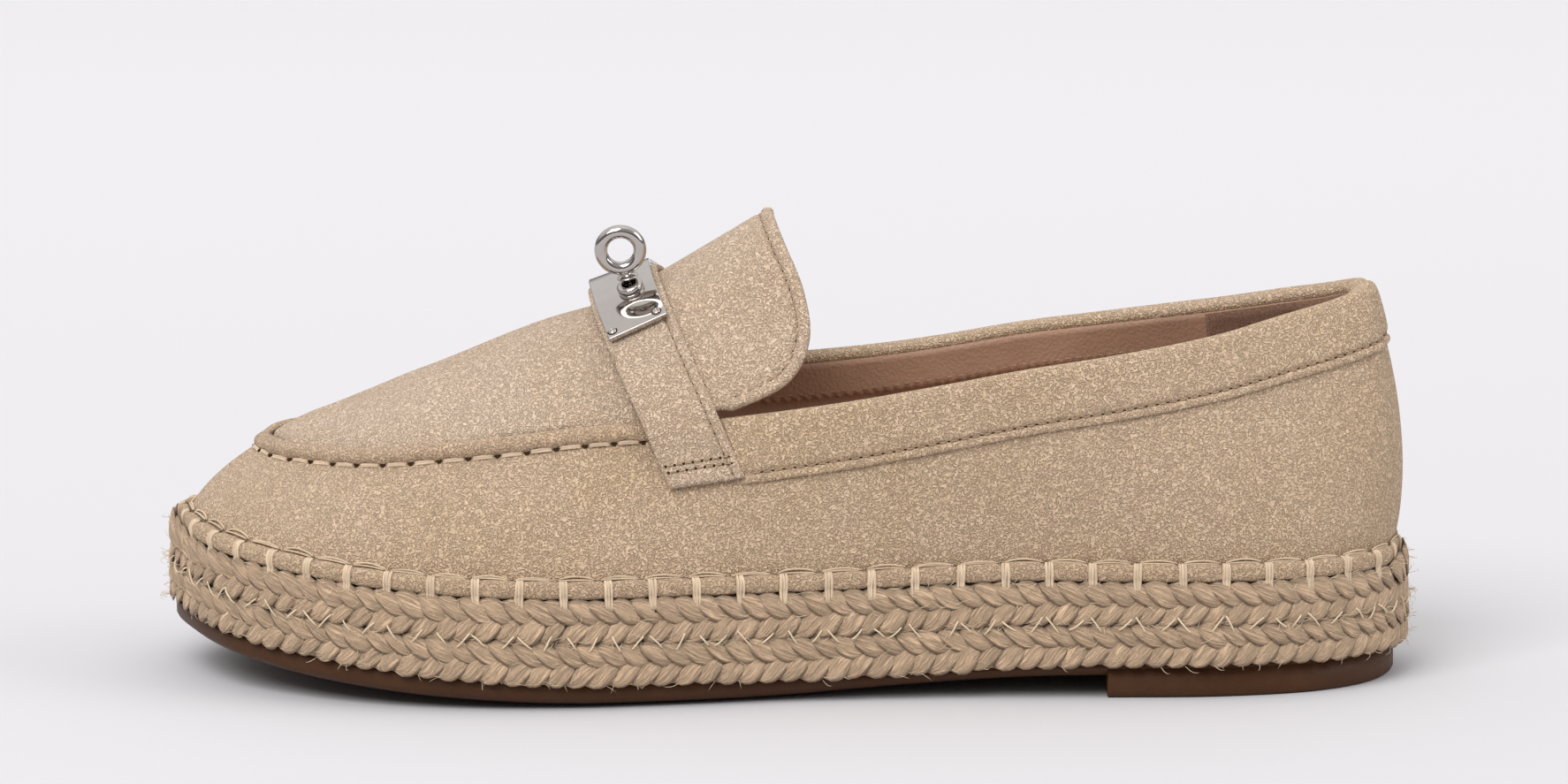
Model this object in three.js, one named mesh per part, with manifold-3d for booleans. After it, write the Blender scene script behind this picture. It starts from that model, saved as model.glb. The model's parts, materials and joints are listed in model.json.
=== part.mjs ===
// A woman's espadrille loafer for the left foot, in millimetres, with +Z up and the toe at -X.
// The origin is the heel point: on the floor, under the middle of the heel seat.
// The shoe stands empty on a rubber outsole that carries two wound courses of jute braid.
import * as THREE from "three";
import { mergeVertices } from "three/addons/utils/BufferGeometryUtils.js";
import Module from "manifold-3d";

// Sole
const soleLength = 260; // the braid, from heel to toe
const ballWidth = 94; // the braid at the ball of the foot
const heelToBack = 35; // from the heel point back to the end of the braid
const heelBreast = 29; // from the heel point forward to the front of the heel
const heelLift = 3.7;
const outsoleThickness = 4.2;
const toeSpring = 9;
const courseHeight = 9.1; // one course of braid at the forefoot
const ribDepth = 1.1; // how far the braid's two ropes stand out
const outsoleInsetHeel = 2.6;
const outsoleInsetToe = 0.8;
const heelChamfer = 0.7;
const treadRound = 1.8; // how high the outsole's lower edge is rounded
const treadRoundInset = 6;
const clearance = 0.3; // between curved pieces that touch

// Upper
const wallThickness = 2.0;
const featherInset = 3.4; // from the braid's edge in to the foot of the upper
const instepRise = 58; // from the top of the sole to the vamp's ridge at the throat
const backRise = 58.3; // from the top of the sole to the collar at the heel
const sideRise = 35.3; // from the top of the sole to the collar beside the throat
const insoleThickness = 2.6;
const insoleGap = 0.5; // between the insole's edge and the wall
const soleBindingHeight = 3.4;
const soleBindingInset = 0.3;
const collarBandHeight = 11.6;
const collarTurnIn = 2.0;
const collarThickness = 1.1;
const seamRollWidth = 5.4;
const seamRollHeight = 2.6;

// Tongue and strap
const tongueThickness = 1.8;
const tongueReach = 26.5; // past the strap, along the ridge
const tongueFlare = 31; // degrees above level at the ridge
const tongueTuck = 11; // under the strap
const strapWidth = 15.6;
const strapThickness = 1.5;
const strapRise = 23; // from the top of the sole to the strap's stitched ends

// Turn lock
const plateWidth = 13.8;
const plateLength = 29.4;
const plateThickness = 1.1;
const archRadius = 24; // of the instep's arch under the plate
const plateOffset = 6.8; // the plate's centre, to the outer side of the ridge
const plateSkew = 0.16; // how much its front lies further out than its rear, as a slope
const postOffset = 11.7; // the post, to the outer side of the ridge
const postSetback = 2.3; // the post, behind the strap's middle
const rivetRadius = 1.15;
const rivetHeight = 0.5;
const rivetMargin = 1.6;
const bossRadius = 2.8;
const bossHeight = 1.1;
const bossChamfer = 0.5;
const stemRadius = 1.15;
const flangeRadius = 2.3;
const flangeHeight = 0.4;
const ringRadius = 4.05; // to the middle of the ring's wire
const ringWire = 1.38;
const ringLift = 8.4; // from the plate to the ring's centre
const postLean = 14; // degrees towards the toe
const postTilt = 11; // degrees towards the outer side

// The last, from heel to toe. along: share of the sole's length. outer and inner: the braid's edge on
// the little-toe and big-toe sides, as shares of the ball width. ridge: where the section's top lies,
// as a share of the length. top, wall and drop: heights as shares of the instep rise. bulge: share of
// the ball width. crown and reach: how far the top handle reaches towards the side and towards the
// heel or toe. lineAt: how far up the section the apron seam runs, in front of the throat. The tops
// behind the throat are only guides, because the collar is cut below them.
const LAST = [
  {
    along: 0.0, outer: 0.0, inner: 0.0, ridge: 0.127, top: 1.72,
    wall: 0.45, bulge: 0.082, crown: 0.5, reach: 0.87, drop: 0.52, lineAt: 0.46,
  },
  {
    along: 0.02, outer: 0.176, inner: 0.181, ridge: 0.13, top: 1.72,
    wall: 0.45, bulge: 0.072, crown: 0.22, reach: 0.95, drop: 0.51, lineAt: 0.46,
  },
  {
    along: 0.07, outer: 0.298, inner: 0.303, ridge: 0.145, top: 1.71,
    wall: 0.44, bulge: 0.064, crown: 0.27, reach: 0.95, drop: 0.47, lineAt: 0.46,
  },
  {
    along: 0.15, outer: 0.362, inner: 0.356, ridge: 0.19, top: 1.68,
    wall: 0.43, bulge: 0.064, crown: 0.56, reach: 0.9, drop: 0.36, lineAt: 0.46,
  },
  {
    along: 0.25, outer: 0.374, inner: 0.346, ridge: 0.3, top: 1.57,
    wall: 0.42, bulge: 0.062, crown: 0.88, reach: 0.85, drop: 0.24, lineAt: 0.46,
  },
  {
    along: 0.38, outer: 0.378, inner: 0.324, ridge: 0.455, top: 1.32,
    wall: 0.38, bulge: 0.055, crown: 0.95, reach: 0.8, drop: 0.1, lineAt: 0.46,
  },
  {
    along: 0.5, outer: 0.412, inner: 0.365, ridge: 0.609, top: 1.0,
    wall: 0.33, bulge: 0.042, crown: 0.76, reach: 0.72, drop: 0.0, lineAt: 0.46,
  },
  {
    along: 0.585, outer: 0.459, inner: 0.423, ridge: 0.696, top: 0.87,
    wall: 0.29, bulge: 0.036, crown: 0.69, reach: 0.68, drop: 0.0, lineAt: 0.5,
  },
  {
    along: 0.67, outer: 0.495, inner: 0.479, ridge: 0.752, top: 0.76,
    wall: 0.25, bulge: 0.03, crown: 0.64, reach: 0.64, drop: 0.0, lineAt: 0.53,
  },
  {
    along: 0.75, outer: 0.5, inner: 0.5, ridge: 0.798, top: 0.658,
    wall: 0.22, bulge: 0.024, crown: 0.61, reach: 0.61, drop: 0.0, lineAt: 0.557,
  },
  {
    along: 0.82, outer: 0.468, inner: 0.484, ridge: 0.832, top: 0.58,
    wall: 0.19, bulge: 0.018, crown: 0.58, reach: 0.58, drop: 0.0, lineAt: 0.578,
  },
  {
    along: 0.89, outer: 0.388, inner: 0.431, ridge: 0.853, top: 0.533,
    wall: 0.155, bulge: 0.012, crown: 0.55, reach: 0.55, drop: 0.0, lineAt: 0.605,
  },
  {
    along: 0.95, outer: 0.266, inner: 0.335, ridge: 0.864, top: 0.509,
    wall: 0.135, bulge: 0.008, crown: 0.52, reach: 0.52, drop: 0.0, lineAt: 0.635,
  },
  {
    along: 0.985, outer: 0.106, inner: 0.202, ridge: 0.871, top: 0.495,
    wall: 0.125, bulge: 0.006, crown: 0.5, reach: 0.5, drop: 0.0, lineAt: 0.672,
  },
  {
    along: 1.0, outer: -0.043, inner: 0.043, ridge: 0.877, top: 0.482,
    wall: 0.12, bulge: 0.005, crown: 0.5, reach: 0.5, drop: 0.0, lineAt: 0.7,
  },
];
const ridgeShift = [
  { along: 0.12, inner: 0.0 },
  { along: 0.45, inner: 0.012 },
  { along: 0.6, inner: 0.022 },
  { along: 0.75, inner: 0.034 },
  { along: 0.88, inner: 0.043 },
];

// The sole's layers from heel to toe. lift and spring: shares of the heel lift and the toe spring under
// the outsole. rubber: share of the outsole's thickness. braid: share of the two courses' height.
const SOLE = [
  { along: 0.0, lift: 1.0, spring: 0.0, rubber: 0.81, braid: 0.94 },
  { along: 0.15, lift: 1.0, spring: 0.0, rubber: 0.79, braid: 0.945 },
  { along: 0.25, lift: 1.0, spring: 0.0, rubber: 0.81, braid: 0.955 },
  { along: 0.31, lift: 0.93, spring: 0.0, rubber: 0.79, braid: 0.985 },
  { along: 0.38, lift: 0.65, spring: 0.0, rubber: 0.8, braid: 1.0 },
  { along: 0.44, lift: 0.37, spring: 0.0, rubber: 0.89, braid: 1.0 },
  { along: 0.5, lift: 0.09, spring: 0.0, rubber: 1.07, braid: 0.995 },
  { along: 0.55, lift: 0.0, spring: 0.0, rubber: 1.16, braid: 0.99 },
  { along: 0.66, lift: 0.0, spring: 0.0, rubber: 1.17, braid: 0.985 },
  { along: 0.75, lift: 0.0, spring: 0.125, rubber: 1.22, braid: 0.95 },
  { along: 0.82, lift: 0.0, spring: 0.28, rubber: 1.28, braid: 0.92 },
  { along: 0.89, lift: 0.0, spring: 0.49, rubber: 1.31, braid: 0.9 },
  { along: 0.95, lift: 0.0, spring: 0.76, rubber: 1.3, braid: 0.88 },
  { along: 1.0, lift: 0.0, spring: 1.0, rubber: 1.35, braid: 0.87 },
];

// The collar's edge on the outer and inner sides: its height between the side rise (0) and the back
// rise (1).
const TOPLINE = [
  { along: 0.03, outer: 1.0, inner: 1.0 },
  { along: 0.062, outer: 0.9, inner: 0.9 },
  { along: 0.1, outer: 0.81, inner: 0.81 },
  { along: 0.16, outer: 0.66, inner: 0.66 },
  { along: 0.28, outer: 0.43, inner: 0.445 },
  { along: 0.4, outer: 0.23, inner: 0.28 },
  { along: 0.56, outer: 0.0, inner: 0.16 },
];

// One course of braid seen from the end: height share, and how deep it lies as a share of the rib depth.
const RIB = [
  { up: 0.0, deep: 1.0 },
  { up: 0.14, deep: 0.1 },
  { up: 0.38, deep: 0.05 },
  { up: 0.5, deep: 0.8 },
  { up: 0.62, deep: 0.05 },
  { up: 0.86, deep: 0.1 },
  { up: 1.0, deep: 1.0 },
];

// The tongue's free part: reach and flare as shares of the ridge's own. side: the square of the way
// from the ridge (0) to the side edge (1), which keeps the middle smooth.
const TONGUE = [
  { side: 0.0, reach: 1.0, flare: 1.0 },
  { side: 0.1, reach: 0.99, flare: 0.88 },
  { side: 0.3, reach: 0.98, flare: 0.6 },
  { side: 0.55, reach: 0.88, flare: 0.34 },
  { side: 0.8, reach: 0.6, flare: 0.15 },
  { side: 1.0, reach: 0.12, flare: 0.05 },
];

// The turn lock's turned pieces seen from the side: radius and height as shares of their own sizes.
const RIVET_DOME = { rim: 0.4, top: 0.6 };
const BOSS_RIM = 0.5;
const NECK = 0.8; // the stem's waist, as a share of its radius
const STEM_END = { sunk: 0.4, radius: 0.9, tip: 0.7 }; // shares of the ring's wire
const SIDES = { rivet: 8, boss: 20, stem: 16, wire: 10, ring: 24 };

// The plate's ends and bends along its length, from the outer end.
const PLATE_BENDS = [0, 0.3, 0.72, 1];
const PLATE_STEPS = 12;

// The seam roll seen from the end: side and height as shares of its half width and its height.
const ROLL = [
  { side: -1, height: 0 },
  { side: -0.95, height: 0.45 },
  { side: -0.55, height: 0.88 },
  { side: 0, height: 1 },
  { side: 0.55, height: 0.88 },
  { side: 0.95, height: 0.45 },
  { side: 1, height: 0 },
  { side: 0, height: 0 },
];

// The fold of the collar band over the edge, as shares of the band's own offset.
const FOLD = { beside: 0.6, above: 0.8 };

// Where pieces end, in rows of LAST or shares of a section.
const THROAT_ROW = 6; // the row of LAST where the collar meets the vamp
const FRONT_ROW = 8; // the strap and the tongue's root end behind this row
const COLLAR_END = 0.12; // rows from the throat back to the collar band's ends
const STRAP_START = 0.06; // rows from the throat back to the strap's rear edge
const ROLL_START = 0.04; // rows from the strap's front edge to the roll's ends
const ROLL_GUIDE = 0.7; // rows from the throat to where the strap's front edge meets the roll
const PLATE_GUIDE = 0.3; // rows from the throat to the line that the plate is measured along
const TONGUE_EDGE = 0.03; // up a section from the throat's corner to the tongue's edge
const STRAP_LIFT = 0.12; // up a section, over which the strap climbs onto the tongue
const NEAR_RIDGE = 0.98; // up a section, where its direction is still clear
const COLLAR_LOWEST = 0.1;
const COLLAR_HIGHEST = 0.9;
const SIDE_FACING = 4; // how quickly the sections turn from the sides to the toe and heel
const TOE_ROW = LAST.length - 1;
const STEPS = 3; // columns between two rows of LAST
const COLUMNS = 2 * TOE_ROW * STEPS;
const WALL_ROWS = 7; // from the foot of the upper to the collar or the apron seam
const APRON_ROWS = 4; // from the apron seam to the ridge
const SMALL = 1e-3;

const wasm = await Module();
wasm.setup();

// Interpolation

// A smooth curve through the rows of a table, read at a key that runs from the first row to the last.
function readTable(rows, keyOf, value, key) {
  const last = rows.length - 1;
  let i = 0;
  while (i < last - 1 && key > keyOf(rows[i + 1], i + 1)) i++;
  const at = (k) => keyOf(rows[k], k);
  const slope = (k) => {
    const a = Math.max(0, k - 1);
    const b = Math.min(last, k + 1);
    return (rows[b][value] - rows[a][value]) / (at(b) - at(a));
  };
  const span = at(i + 1) - at(i);
  const s = Math.min(1, Math.max(0, (key - at(i)) / span));
  const s2 = s * s;
  const s3 = s2 * s;
  return (
    rows[i][value] * (2 * s3 - 3 * s2 + 1) +
    slope(i) * span * (s3 - 2 * s2 + s) +
    rows[i + 1][value] * (3 * s2 - 2 * s3) +
    slope(i + 1) * span * (s3 - s2)
  );
}
const byAlong = (rows, value, along) => readTable(rows, (row) => row.along, value, along);
const lastValue = (value, row) => readTable(LAST, (unused, i) => i, value, row);
const alongAt = (x) => (heelToBack - x) / soleLength;
const xAt = (along) => heelToBack - along * soleLength;

// Finds where a function that rises with its input reaches a value.
function solve(rising, value, low, high) {
  for (let i = 0; i < 30; i++) {
    const middle = (low + high) / 2;
    if (rising(middle) < value) low = middle;
    else high = middle;
  }
  return (low + high) / 2;
}

// The outline and the sole's levels

// A place round the shoe is one number: 0 at the back of the heel, along the outer side to 0.5 at the
// toe, and back along the inner side to 1.
const placeOf = (row, side) => (side < 0 ? row : 2 * TOE_ROW - row) / (2 * TOE_ROW);
const rowOf = (place) => Math.min(place, 1 - place) * 2 * TOE_ROW;

const outline = new THREE.CatmullRomCurve3(
  [
    ...LAST.map((row) => new THREE.Vector3(xAt(row.along), -row.outer * ballWidth, 0)),
    ...LAST.slice(1, -1)
      .reverse()
      .map((row) => new THREE.Vector3(xAt(row.along), row.inner * ballWidth, 0)),
  ],
  true,
);

// A point of the outline, moved in from the braid's edge, with the direction that faces out.
function edge(place, inset = 0) {
  const wrapped = ((place % 1) + 1) % 1;
  const point = outline.getPoint(wrapped);
  const before = outline.getPoint((wrapped + 1 - SMALL) % 1);
  const after = outline.getPoint((wrapped + SMALL) % 1);
  const out = new THREE.Vector3(before.y - after.y, after.x - before.x, 0).normalize();
  return { point: point.addScaledVector(out, -inset), out };
}

function treadHeight(x) {
  const along = alongAt(x);
  return (
    Math.max(0, byAlong(SOLE, "lift", along)) * heelLift +
    Math.max(0, byAlong(SOLE, "spring", along)) * toeSpring
  );
}
const rubberTop = (x) => treadHeight(x) + byAlong(SOLE, "rubber", alongAt(x)) * outsoleThickness;
const courseAt = (x) => byAlong(SOLE, "braid", alongAt(x)) * courseHeight;
const soleTop = (x) => rubberTop(x) + 2 * courseAt(x);

// The upper's form

// The four handles of a section of the last, from the foot of the upper to the ridge.
function handles(place) {
  const row = rowOf(place);
  const { point: foot, out } = edge(place, featherInset);
  foot.z = soleTop(foot.x) + clearance;
  const along = lastValue("ridge", row);
  const ridgeX = xAt(along);
  const ridge = new THREE.Vector3(
    ridgeX,
    byAlong(ridgeShift, "inner", along) * ballWidth,
    soleTop(ridgeX) + lastValue("top", row) * instepRise,
  );
  const rowNear = Math.min(row + SMALL, TOE_ROW);
  const rowBack = rowNear - 2 * SMALL;
  const nearX = xAt(lastValue("ridge", rowNear));
  const backX = xAt(lastValue("ridge", rowBack));
  const climb = (lastValue("top", rowBack) - lastValue("top", rowNear)) * instepRise;
  const slope = (soleTop(backX) - soleTop(nearX) + climb) / (backX - nearX);
  const facing = 1 - out.y ** SIDE_FACING; // 1 at the toe and heel, 0 along the sides
  const wall = lastValue("wall", row) * instepRise;
  const drop = lastValue("drop", row) * instepRise;
  const crown = lastValue("crown", row);
  const lean = ((ridge.x - foot.x) / (ridge.z - foot.z)) * (1 - facing);
  const low = foot.clone().addScaledVector(out, lastValue("bulge", row) * ballWidth);
  low.x += lean * wall;
  low.z += wall;
  const reach = facing * lastValue("reach", row) * (foot.x - ridge.x);
  const high = new THREE.Vector3(
    ridge.x + reach - lean * drop,
    ridge.y + crown * (foot.y - ridge.y),
    ridge.z - drop + slope * reach,
  );
  return [foot, low, high, ridge];
}

const handlesSeen = new Map();
function section(place) {
  const key = place.toFixed(7);
  if (!handlesSeen.has(key)) handlesSeen.set(key, new THREE.CubicBezierCurve3(...handles(place)));
  return handlesSeen.get(key);
}
const lastPoint = (place, up) => section(place).getPoint(Math.min(1, Math.max(0, up)));

function lastNormal(place, up) {
  const low = Math.max(0, up - SMALL);
  const high = Math.min(1, up + SMALL);
  const rise = lastPoint(place, high).sub(lastPoint(place, low));
  const step = SMALL / TOE_ROW;
  const beside = Math.min(up, NEAR_RIDGE); // the sections meet at the ridge
  const round = lastPoint((place + step) % 1, beside).sub(lastPoint((place + 1 - step) % 1, beside));
  return rise.cross(round).normalize();
}
const lastOffset = (place, up, distance) =>
  lastPoint(place, up).addScaledVector(lastNormal(place, up), distance);

// How far up a section a height over the foot of the upper lies.
const upAtRise = (place, rise) =>
  solve((up) => lastPoint(place, up).z - lastPoint(place, 0).z, rise, 0, 1);

// How far up a section the upper's own edge lies, under the turned collar.
function collarTop(x, side) {
  const climb = byAlong(TOPLINE, side < 0 ? "outer" : "inner", alongAt(x));
  return soleTop(x) + sideRise + climb * (backRise - sideRise);
}
function collarUp(place) {
  const side = place < 0.5 ? -1 : 1;
  const over = (up) => {
    const point = lastPoint(place, up);
    return point.z + collarThickness + clearance - collarTop(point.x, side);
  };
  return solve(over, 0, COLLAR_LOWEST, COLLAR_HIGHEST);
}
const throatUp = (side) => collarUp(placeOf(THROAT_ROW, side));

// The line up a section where the wall ends: the collar's edge, and the apron seam in front of it.
function lineUp(place) {
  const row = rowOf(place);
  if (row <= THROAT_ROW + SMALL) return collarUp(place);
  const side = place < 0.5 ? -1 : 1;
  const blend = Math.max(0, 1 - (row - THROAT_ROW));
  return lastValue("lineAt", row) + blend * (throatUp(side) - LAST[THROAT_ROW].lineAt);
}

// Meshes

// Collects points and faces, and makes one closed geometry of them.
class Surface {
  constructor() {
    this.points = [];
    this.faces = [];
  }
  add(point) {
    this.points.push(point.x, point.y, point.z);
    return this.points.length / 3 - 1;
  }
  quad(a, b, c, d) {
    if (a !== b && b !== c && a !== c) this.faces.push(a, b, c);
    if (a !== c && c !== d && a !== d) this.faces.push(a, c, d);
  }
  geometry() {
    const made = new THREE.BufferGeometry();
    made.setAttribute("position", new THREE.Float32BufferAttribute(this.points, 3));
    made.setIndex(this.faces);
    return made;
  }
}

// Joins rings of equally many points. A hoop closes on itself. Otherwise each end gets a flat strip
// between the first and the second half of its ring.
function loft(rings, isHoop) {
  const surface = new Surface();
  const ids = rings.map((ring) => ring.map((point) => surface.add(point)));
  const count = rings[0].length;
  const last = isHoop ? rings.length : rings.length - 1;
  for (let i = 0; i < last; i++) {
    const here = ids[i];
    const next = ids[(i + 1) % rings.length];
    for (let j = 0; j < count; j++) {
      const k = (j + 1) % count;
      surface.quad(here[j], here[k], next[k], next[j]);
    }
  }
  if (!isHoop) {
    const [first, end] = [ids[0], ids[last]];
    for (let j = 0; j < count / 2 - 1; j++) {
      const far = count - 1 - j;
      surface.quad(first[j + 1], first[j], first[far], first[far - 1]);
      surface.quad(end[j], end[j + 1], end[far - 1], end[far]);
    }
  }
  return surface.geometry();
}

// A slab round the outline: rings from bottom to top, closed across from the outer to the inner side.
function outlineSlab(rings) {
  const surface = new Surface();
  const ids = rings.map((ring) => ring.map((point) => surface.add(point)));
  const count = rings[0].length;
  for (let i = 0; i + 1 < rings.length; i++) {
    for (let j = 0; j < count; j++) {
      const k = (j + 1) % count;
      surface.quad(ids[i][k], ids[i][j], ids[i + 1][j], ids[i + 1][k]);
    }
  }
  const bottom = ids[0];
  const top = ids[ids.length - 1];
  for (let j = 0; j < count / 2; j++) {
    const far = (count - j) % count;
    const farNext = count - j - 1;
    surface.quad(bottom[j + 1], bottom[farNext], bottom[far], bottom[j]);
    surface.quad(top[far], top[farNext], top[j + 1], top[j]);
  }
  return surface.geometry();
}

// A sheet of even thickness between two distances from a grid of points.
function sheet(grid, low, high) {
  const rows = grid.length;
  const columns = grid[0].length;
  const at = (i, j) =>
    grid[Math.min(rows - 1, Math.max(0, i))][Math.min(columns - 1, Math.max(0, j))];
  const surface = new Surface();
  const layers = [low, high].map((distance) =>
    grid.map((line, i) =>
      line.map((point, j) => {
        const normal = at(i + 1, j)
          .clone()
          .sub(at(i - 1, j))
          .cross(at(i, j + 1).clone().sub(at(i, j - 1)))
          .normalize();
        const away = typeof distance === "function" ? distance(i, j) : distance;
        return surface.add(point.clone().addScaledVector(normal, away));
      }),
    ),
  );
  const [under, over] = layers;
  for (let i = 0; i + 1 < rows; i++) {
    for (let j = 0; j + 1 < columns; j++) {
      surface.quad(over[i][j], over[i + 1][j], over[i + 1][j + 1], over[i][j + 1]);
      surface.quad(under[i][j], under[i][j + 1], under[i + 1][j + 1], under[i + 1][j]);
    }
    const end = columns - 1;
    surface.quad(under[i][0], under[i + 1][0], over[i + 1][0], over[i][0]);
    surface.quad(under[i + 1][end], under[i][end], over[i][end], over[i + 1][end]);
  }
  for (let j = 0; j + 1 < columns; j++) {
    const end = rows - 1;
    surface.quad(under[0][j + 1], under[0][j], over[0][j], over[0][j + 1]);
    surface.quad(under[end][j], under[end][j + 1], over[end][j + 1], over[end][j]);
  }
  return surface.geometry();
}

// A closed geometry as a solid that can be joined or cut, and back.
function toSolid(geometry) {
  const bare = new THREE.BufferGeometry();
  bare.setAttribute("position", geometry.getAttribute("position"));
  bare.setIndex(geometry.getIndex());
  const merged = mergeVertices(bare, SMALL);
  return new wasm.Manifold(
    new wasm.Mesh({
      numProp: 3,
      vertProperties: merged.getAttribute("position").array,
      triVerts: new Uint32Array(merged.index.array),
    }),
  );
}
function toGeometry(solid) {
  const mesh = solid.getMesh();
  const made = new THREE.BufferGeometry();
  made.setAttribute("position", new THREE.BufferAttribute(new Float32Array(mesh.vertProperties), 3));
  made.setIndex(new THREE.BufferAttribute(new Uint32Array(mesh.triVerts), 1));
  return made;
}

// Sole pieces

const roundPlaces = (count) => Array.from({ length: count }, (unused, j) => j / count);
function levelRing(insetAt, heightAt) {
  return roundPlaces(COLUMNS).map((place) => {
    const { point } = edge(place, insetAt(place));
    point.z = heightAt(point.x);
    return point;
  });
}
const outsoleInset = (place) => {
  const toeward = rowOf(place) / TOE_ROW;
  return outsoleInsetHeel + (outsoleInsetToe - outsoleInsetHeel) * toeward;
};

// The outsole is moulded in one with its heel, whose front is straight.
function outsole() {
  const plate = outlineSlab([
    levelRing((place) => outsoleInset(place) + treadRoundInset, treadHeight),
    levelRing(outsoleInset, (x) => treadHeight(x) + treadRound),
    levelRing(outsoleInset, rubberTop),
  ]);
  const inPlate = (x) => treadHeight(x) + treadRound + clearance;
  const block = outlineSlab([
    levelRing((place) => outsoleInset(place) + heelChamfer, () => 0),
    levelRing(outsoleInset, () => heelChamfer),
    levelRing(outsoleInset, inPlate),
  ]);
  const depth = heelToBack + heelBreast;
  const rear = new THREE.BoxGeometry(depth, ballWidth, 4 * heelLift);
  rear.translate(depth / 2 - heelBreast, 0, 0);
  return toGeometry(toSolid(plate).add(toSolid(block).intersect(toSolid(rear))));
}

// One course of braid: two ropes side by side, wound round the whole sole.
function braidCourse(number) {
  const floor = (x) => rubberTop(x) + clearance + number * courseAt(x);
  const height = (x) => courseAt(x) - clearance;
  return outlineSlab(
    RIB.map((rib) =>
      levelRing(
        () => rib.deep * ribDepth,
        (x) => floor(x) + rib.up * height(x),
      ),
    ),
  );
}

// The folded suede strip that the whip stitches hold down over the braid's upper edge.
function soleBinding() {
  const bend = 5;
  return loft(
    roundPlaces(COLUMNS).map((place) => {
      const low = lastOffset(place, upAtRise(place, clearance), clearance);
      const top = lastOffset(place, upAtRise(place, soleBindingHeight), clearance);
      const { point: brim } = edge(place, soleBindingInset);
      brim.z = soleTop(brim.x) + 2 * clearance;
      low.z = soleTop(low.x) + 2 * clearance;
      const corner = new THREE.Vector3(brim.x, brim.y, top.z);
      const back = new THREE.QuadraticBezierCurve3(brim, corner, top).getPoints(bend);
      return [low, ...back];
    }),
    true,
  );
}

function insole() {
  const gap = wallThickness + insoleGap;
  const ring = (rise) =>
    roundPlaces(COLUMNS).map((place) => lastOffset(place, upAtRise(place, rise), -gap));
  const base = ring(clearance);
  const top = ring(insoleThickness);
  base.forEach((point) => (point.z = soleTop(point.x) + clearance));
  return outlineSlab([base, top]);
}

// Upper pieces

// The hollow upper: walls from the foot to the collar or the apron seam, and the apron over the ridge.
function upper() {
  const surface = new Surface();
  const half = COLUMNS / 2;
  const throat = THROAT_ROW * STEPS;
  const rowsUp = WALL_ROWS + APRON_ROWS;
  const inFront = (j) => Math.min(j, COLUMNS - j) >= throat;
  const layer = (distance) => {
    const ids = [];
    for (let j = 0; j < COLUMNS; j++) {
      const place = j / COLUMNS;
      const line = lineUp(place);
      const column = [];
      for (let k = 0; k <= rowsUp; k++) {
        if (k > WALL_ROWS && !inFront(j)) break;
        if (k === rowsUp && j > half) {
          column.push(ids[COLUMNS - j][k]);
          continue;
        }
        const up =
          k <= WALL_ROWS
            ? (line * k) / WALL_ROWS
            : line + ((1 - line) * (k - WALL_ROWS)) / APRON_ROWS;
        const point = lastOffset(place, up, distance);
        if (k === 0) point.z = soleTop(point.x) + clearance;
        column.push(surface.add(point));
      }
      ids.push(column);
    }
    return ids;
  };
  const outer = layer(0);
  const inner = layer(-wallThickness);
  for (let j = 0; j < COLUMNS; j++) {
    const next = (j + 1) % COLUMNS;
    const isFront = inFront(j) && inFront(next);
    const rows = isFront ? rowsUp : WALL_ROWS;
    for (let k = 0; k < rows; k++) {
      surface.quad(outer[next][k], outer[j][k], outer[j][k + 1], outer[next][k + 1]);
      surface.quad(inner[j][k], inner[next][k], inner[next][k + 1], inner[j][k + 1]);
    }
    surface.quad(outer[j][0], outer[next][0], inner[next][0], inner[j][0]);
    if (!isFront) {
      const k = WALL_ROWS;
      surface.quad(outer[next][k], outer[j][k], inner[j][k], inner[next][k]);
    }
  }
  for (let k = WALL_ROWS; k < rowsUp; k++) {
    const inside = COLUMNS - throat;
    surface.quad(outer[throat][k + 1], outer[throat][k], inner[throat][k], inner[throat][k + 1]);
    surface.quad(inner[inside][k + 1], inner[inside][k], outer[inside][k], outer[inside][k + 1]);
  }
  return surface.geometry();
}

// The folded band over the collar's edge, from the strap round the heel to the strap.
function collarBinding() {
  const out = clearance + collarThickness;
  const inside = wallThickness + out;
  const middle = wallThickness / 2;
  const endRow = THROAT_ROW - COLLAR_END;
  const steps = THROAT_ROW * STEPS;
  const rings = [];
  for (let i = -steps; i <= steps; i++) {
    const place = placeOf((Math.abs(i) / steps) * endRow, i < 0 ? 1 : -1);
    const top = collarUp(place);
    const rise = lastPoint(place, top).z - lastPoint(place, 0).z;
    const foot = upAtRise(place, rise - collarBandHeight + out);
    const half = (foot + top) / 2;
    const turn = upAtRise(place, rise - collarTurnIn);
    const up = lastPoint(place, top).sub(lastPoint(place, top - SMALL)).normalize();
    const over = (distance, lift) => lastOffset(place, top, distance).addScaledVector(up, lift);
    rings.push([
      lastOffset(place, foot, out),
      lastOffset(place, half, out),
      over(out, 0),
      over(out * FOLD.beside, out * FOLD.above),
      over(-middle, out),
      over(-wallThickness - out * FOLD.beside, out * FOLD.above),
      over(-inside, 0),
      lastOffset(place, turn, -inside),
      lastOffset(place, turn, -wallThickness - clearance),
      over(-wallThickness - clearance, 0),
      over(-wallThickness - clearance, clearance),
      over(-middle, clearance),
      over(clearance, clearance),
      over(clearance, 0),
      lastOffset(place, half, clearance),
      lastOffset(place, foot, clearance),
    ]);
  }
  return loft(rings, false);
}

// The places along the strap: how far up each section, from its outer end over the ridge to its inner end.
function archStations(side, count) {
  const place = placeOf(THROAT_ROW, side);
  const from = upAtRise(place, strapRise);
  return Array.from({ length: count + 1 }, (unused, i) => from + ((1 - from) * i) / count);
}
const STRAP_ROWS = 14;
const strapRear = THROAT_ROW - STRAP_START;

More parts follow.
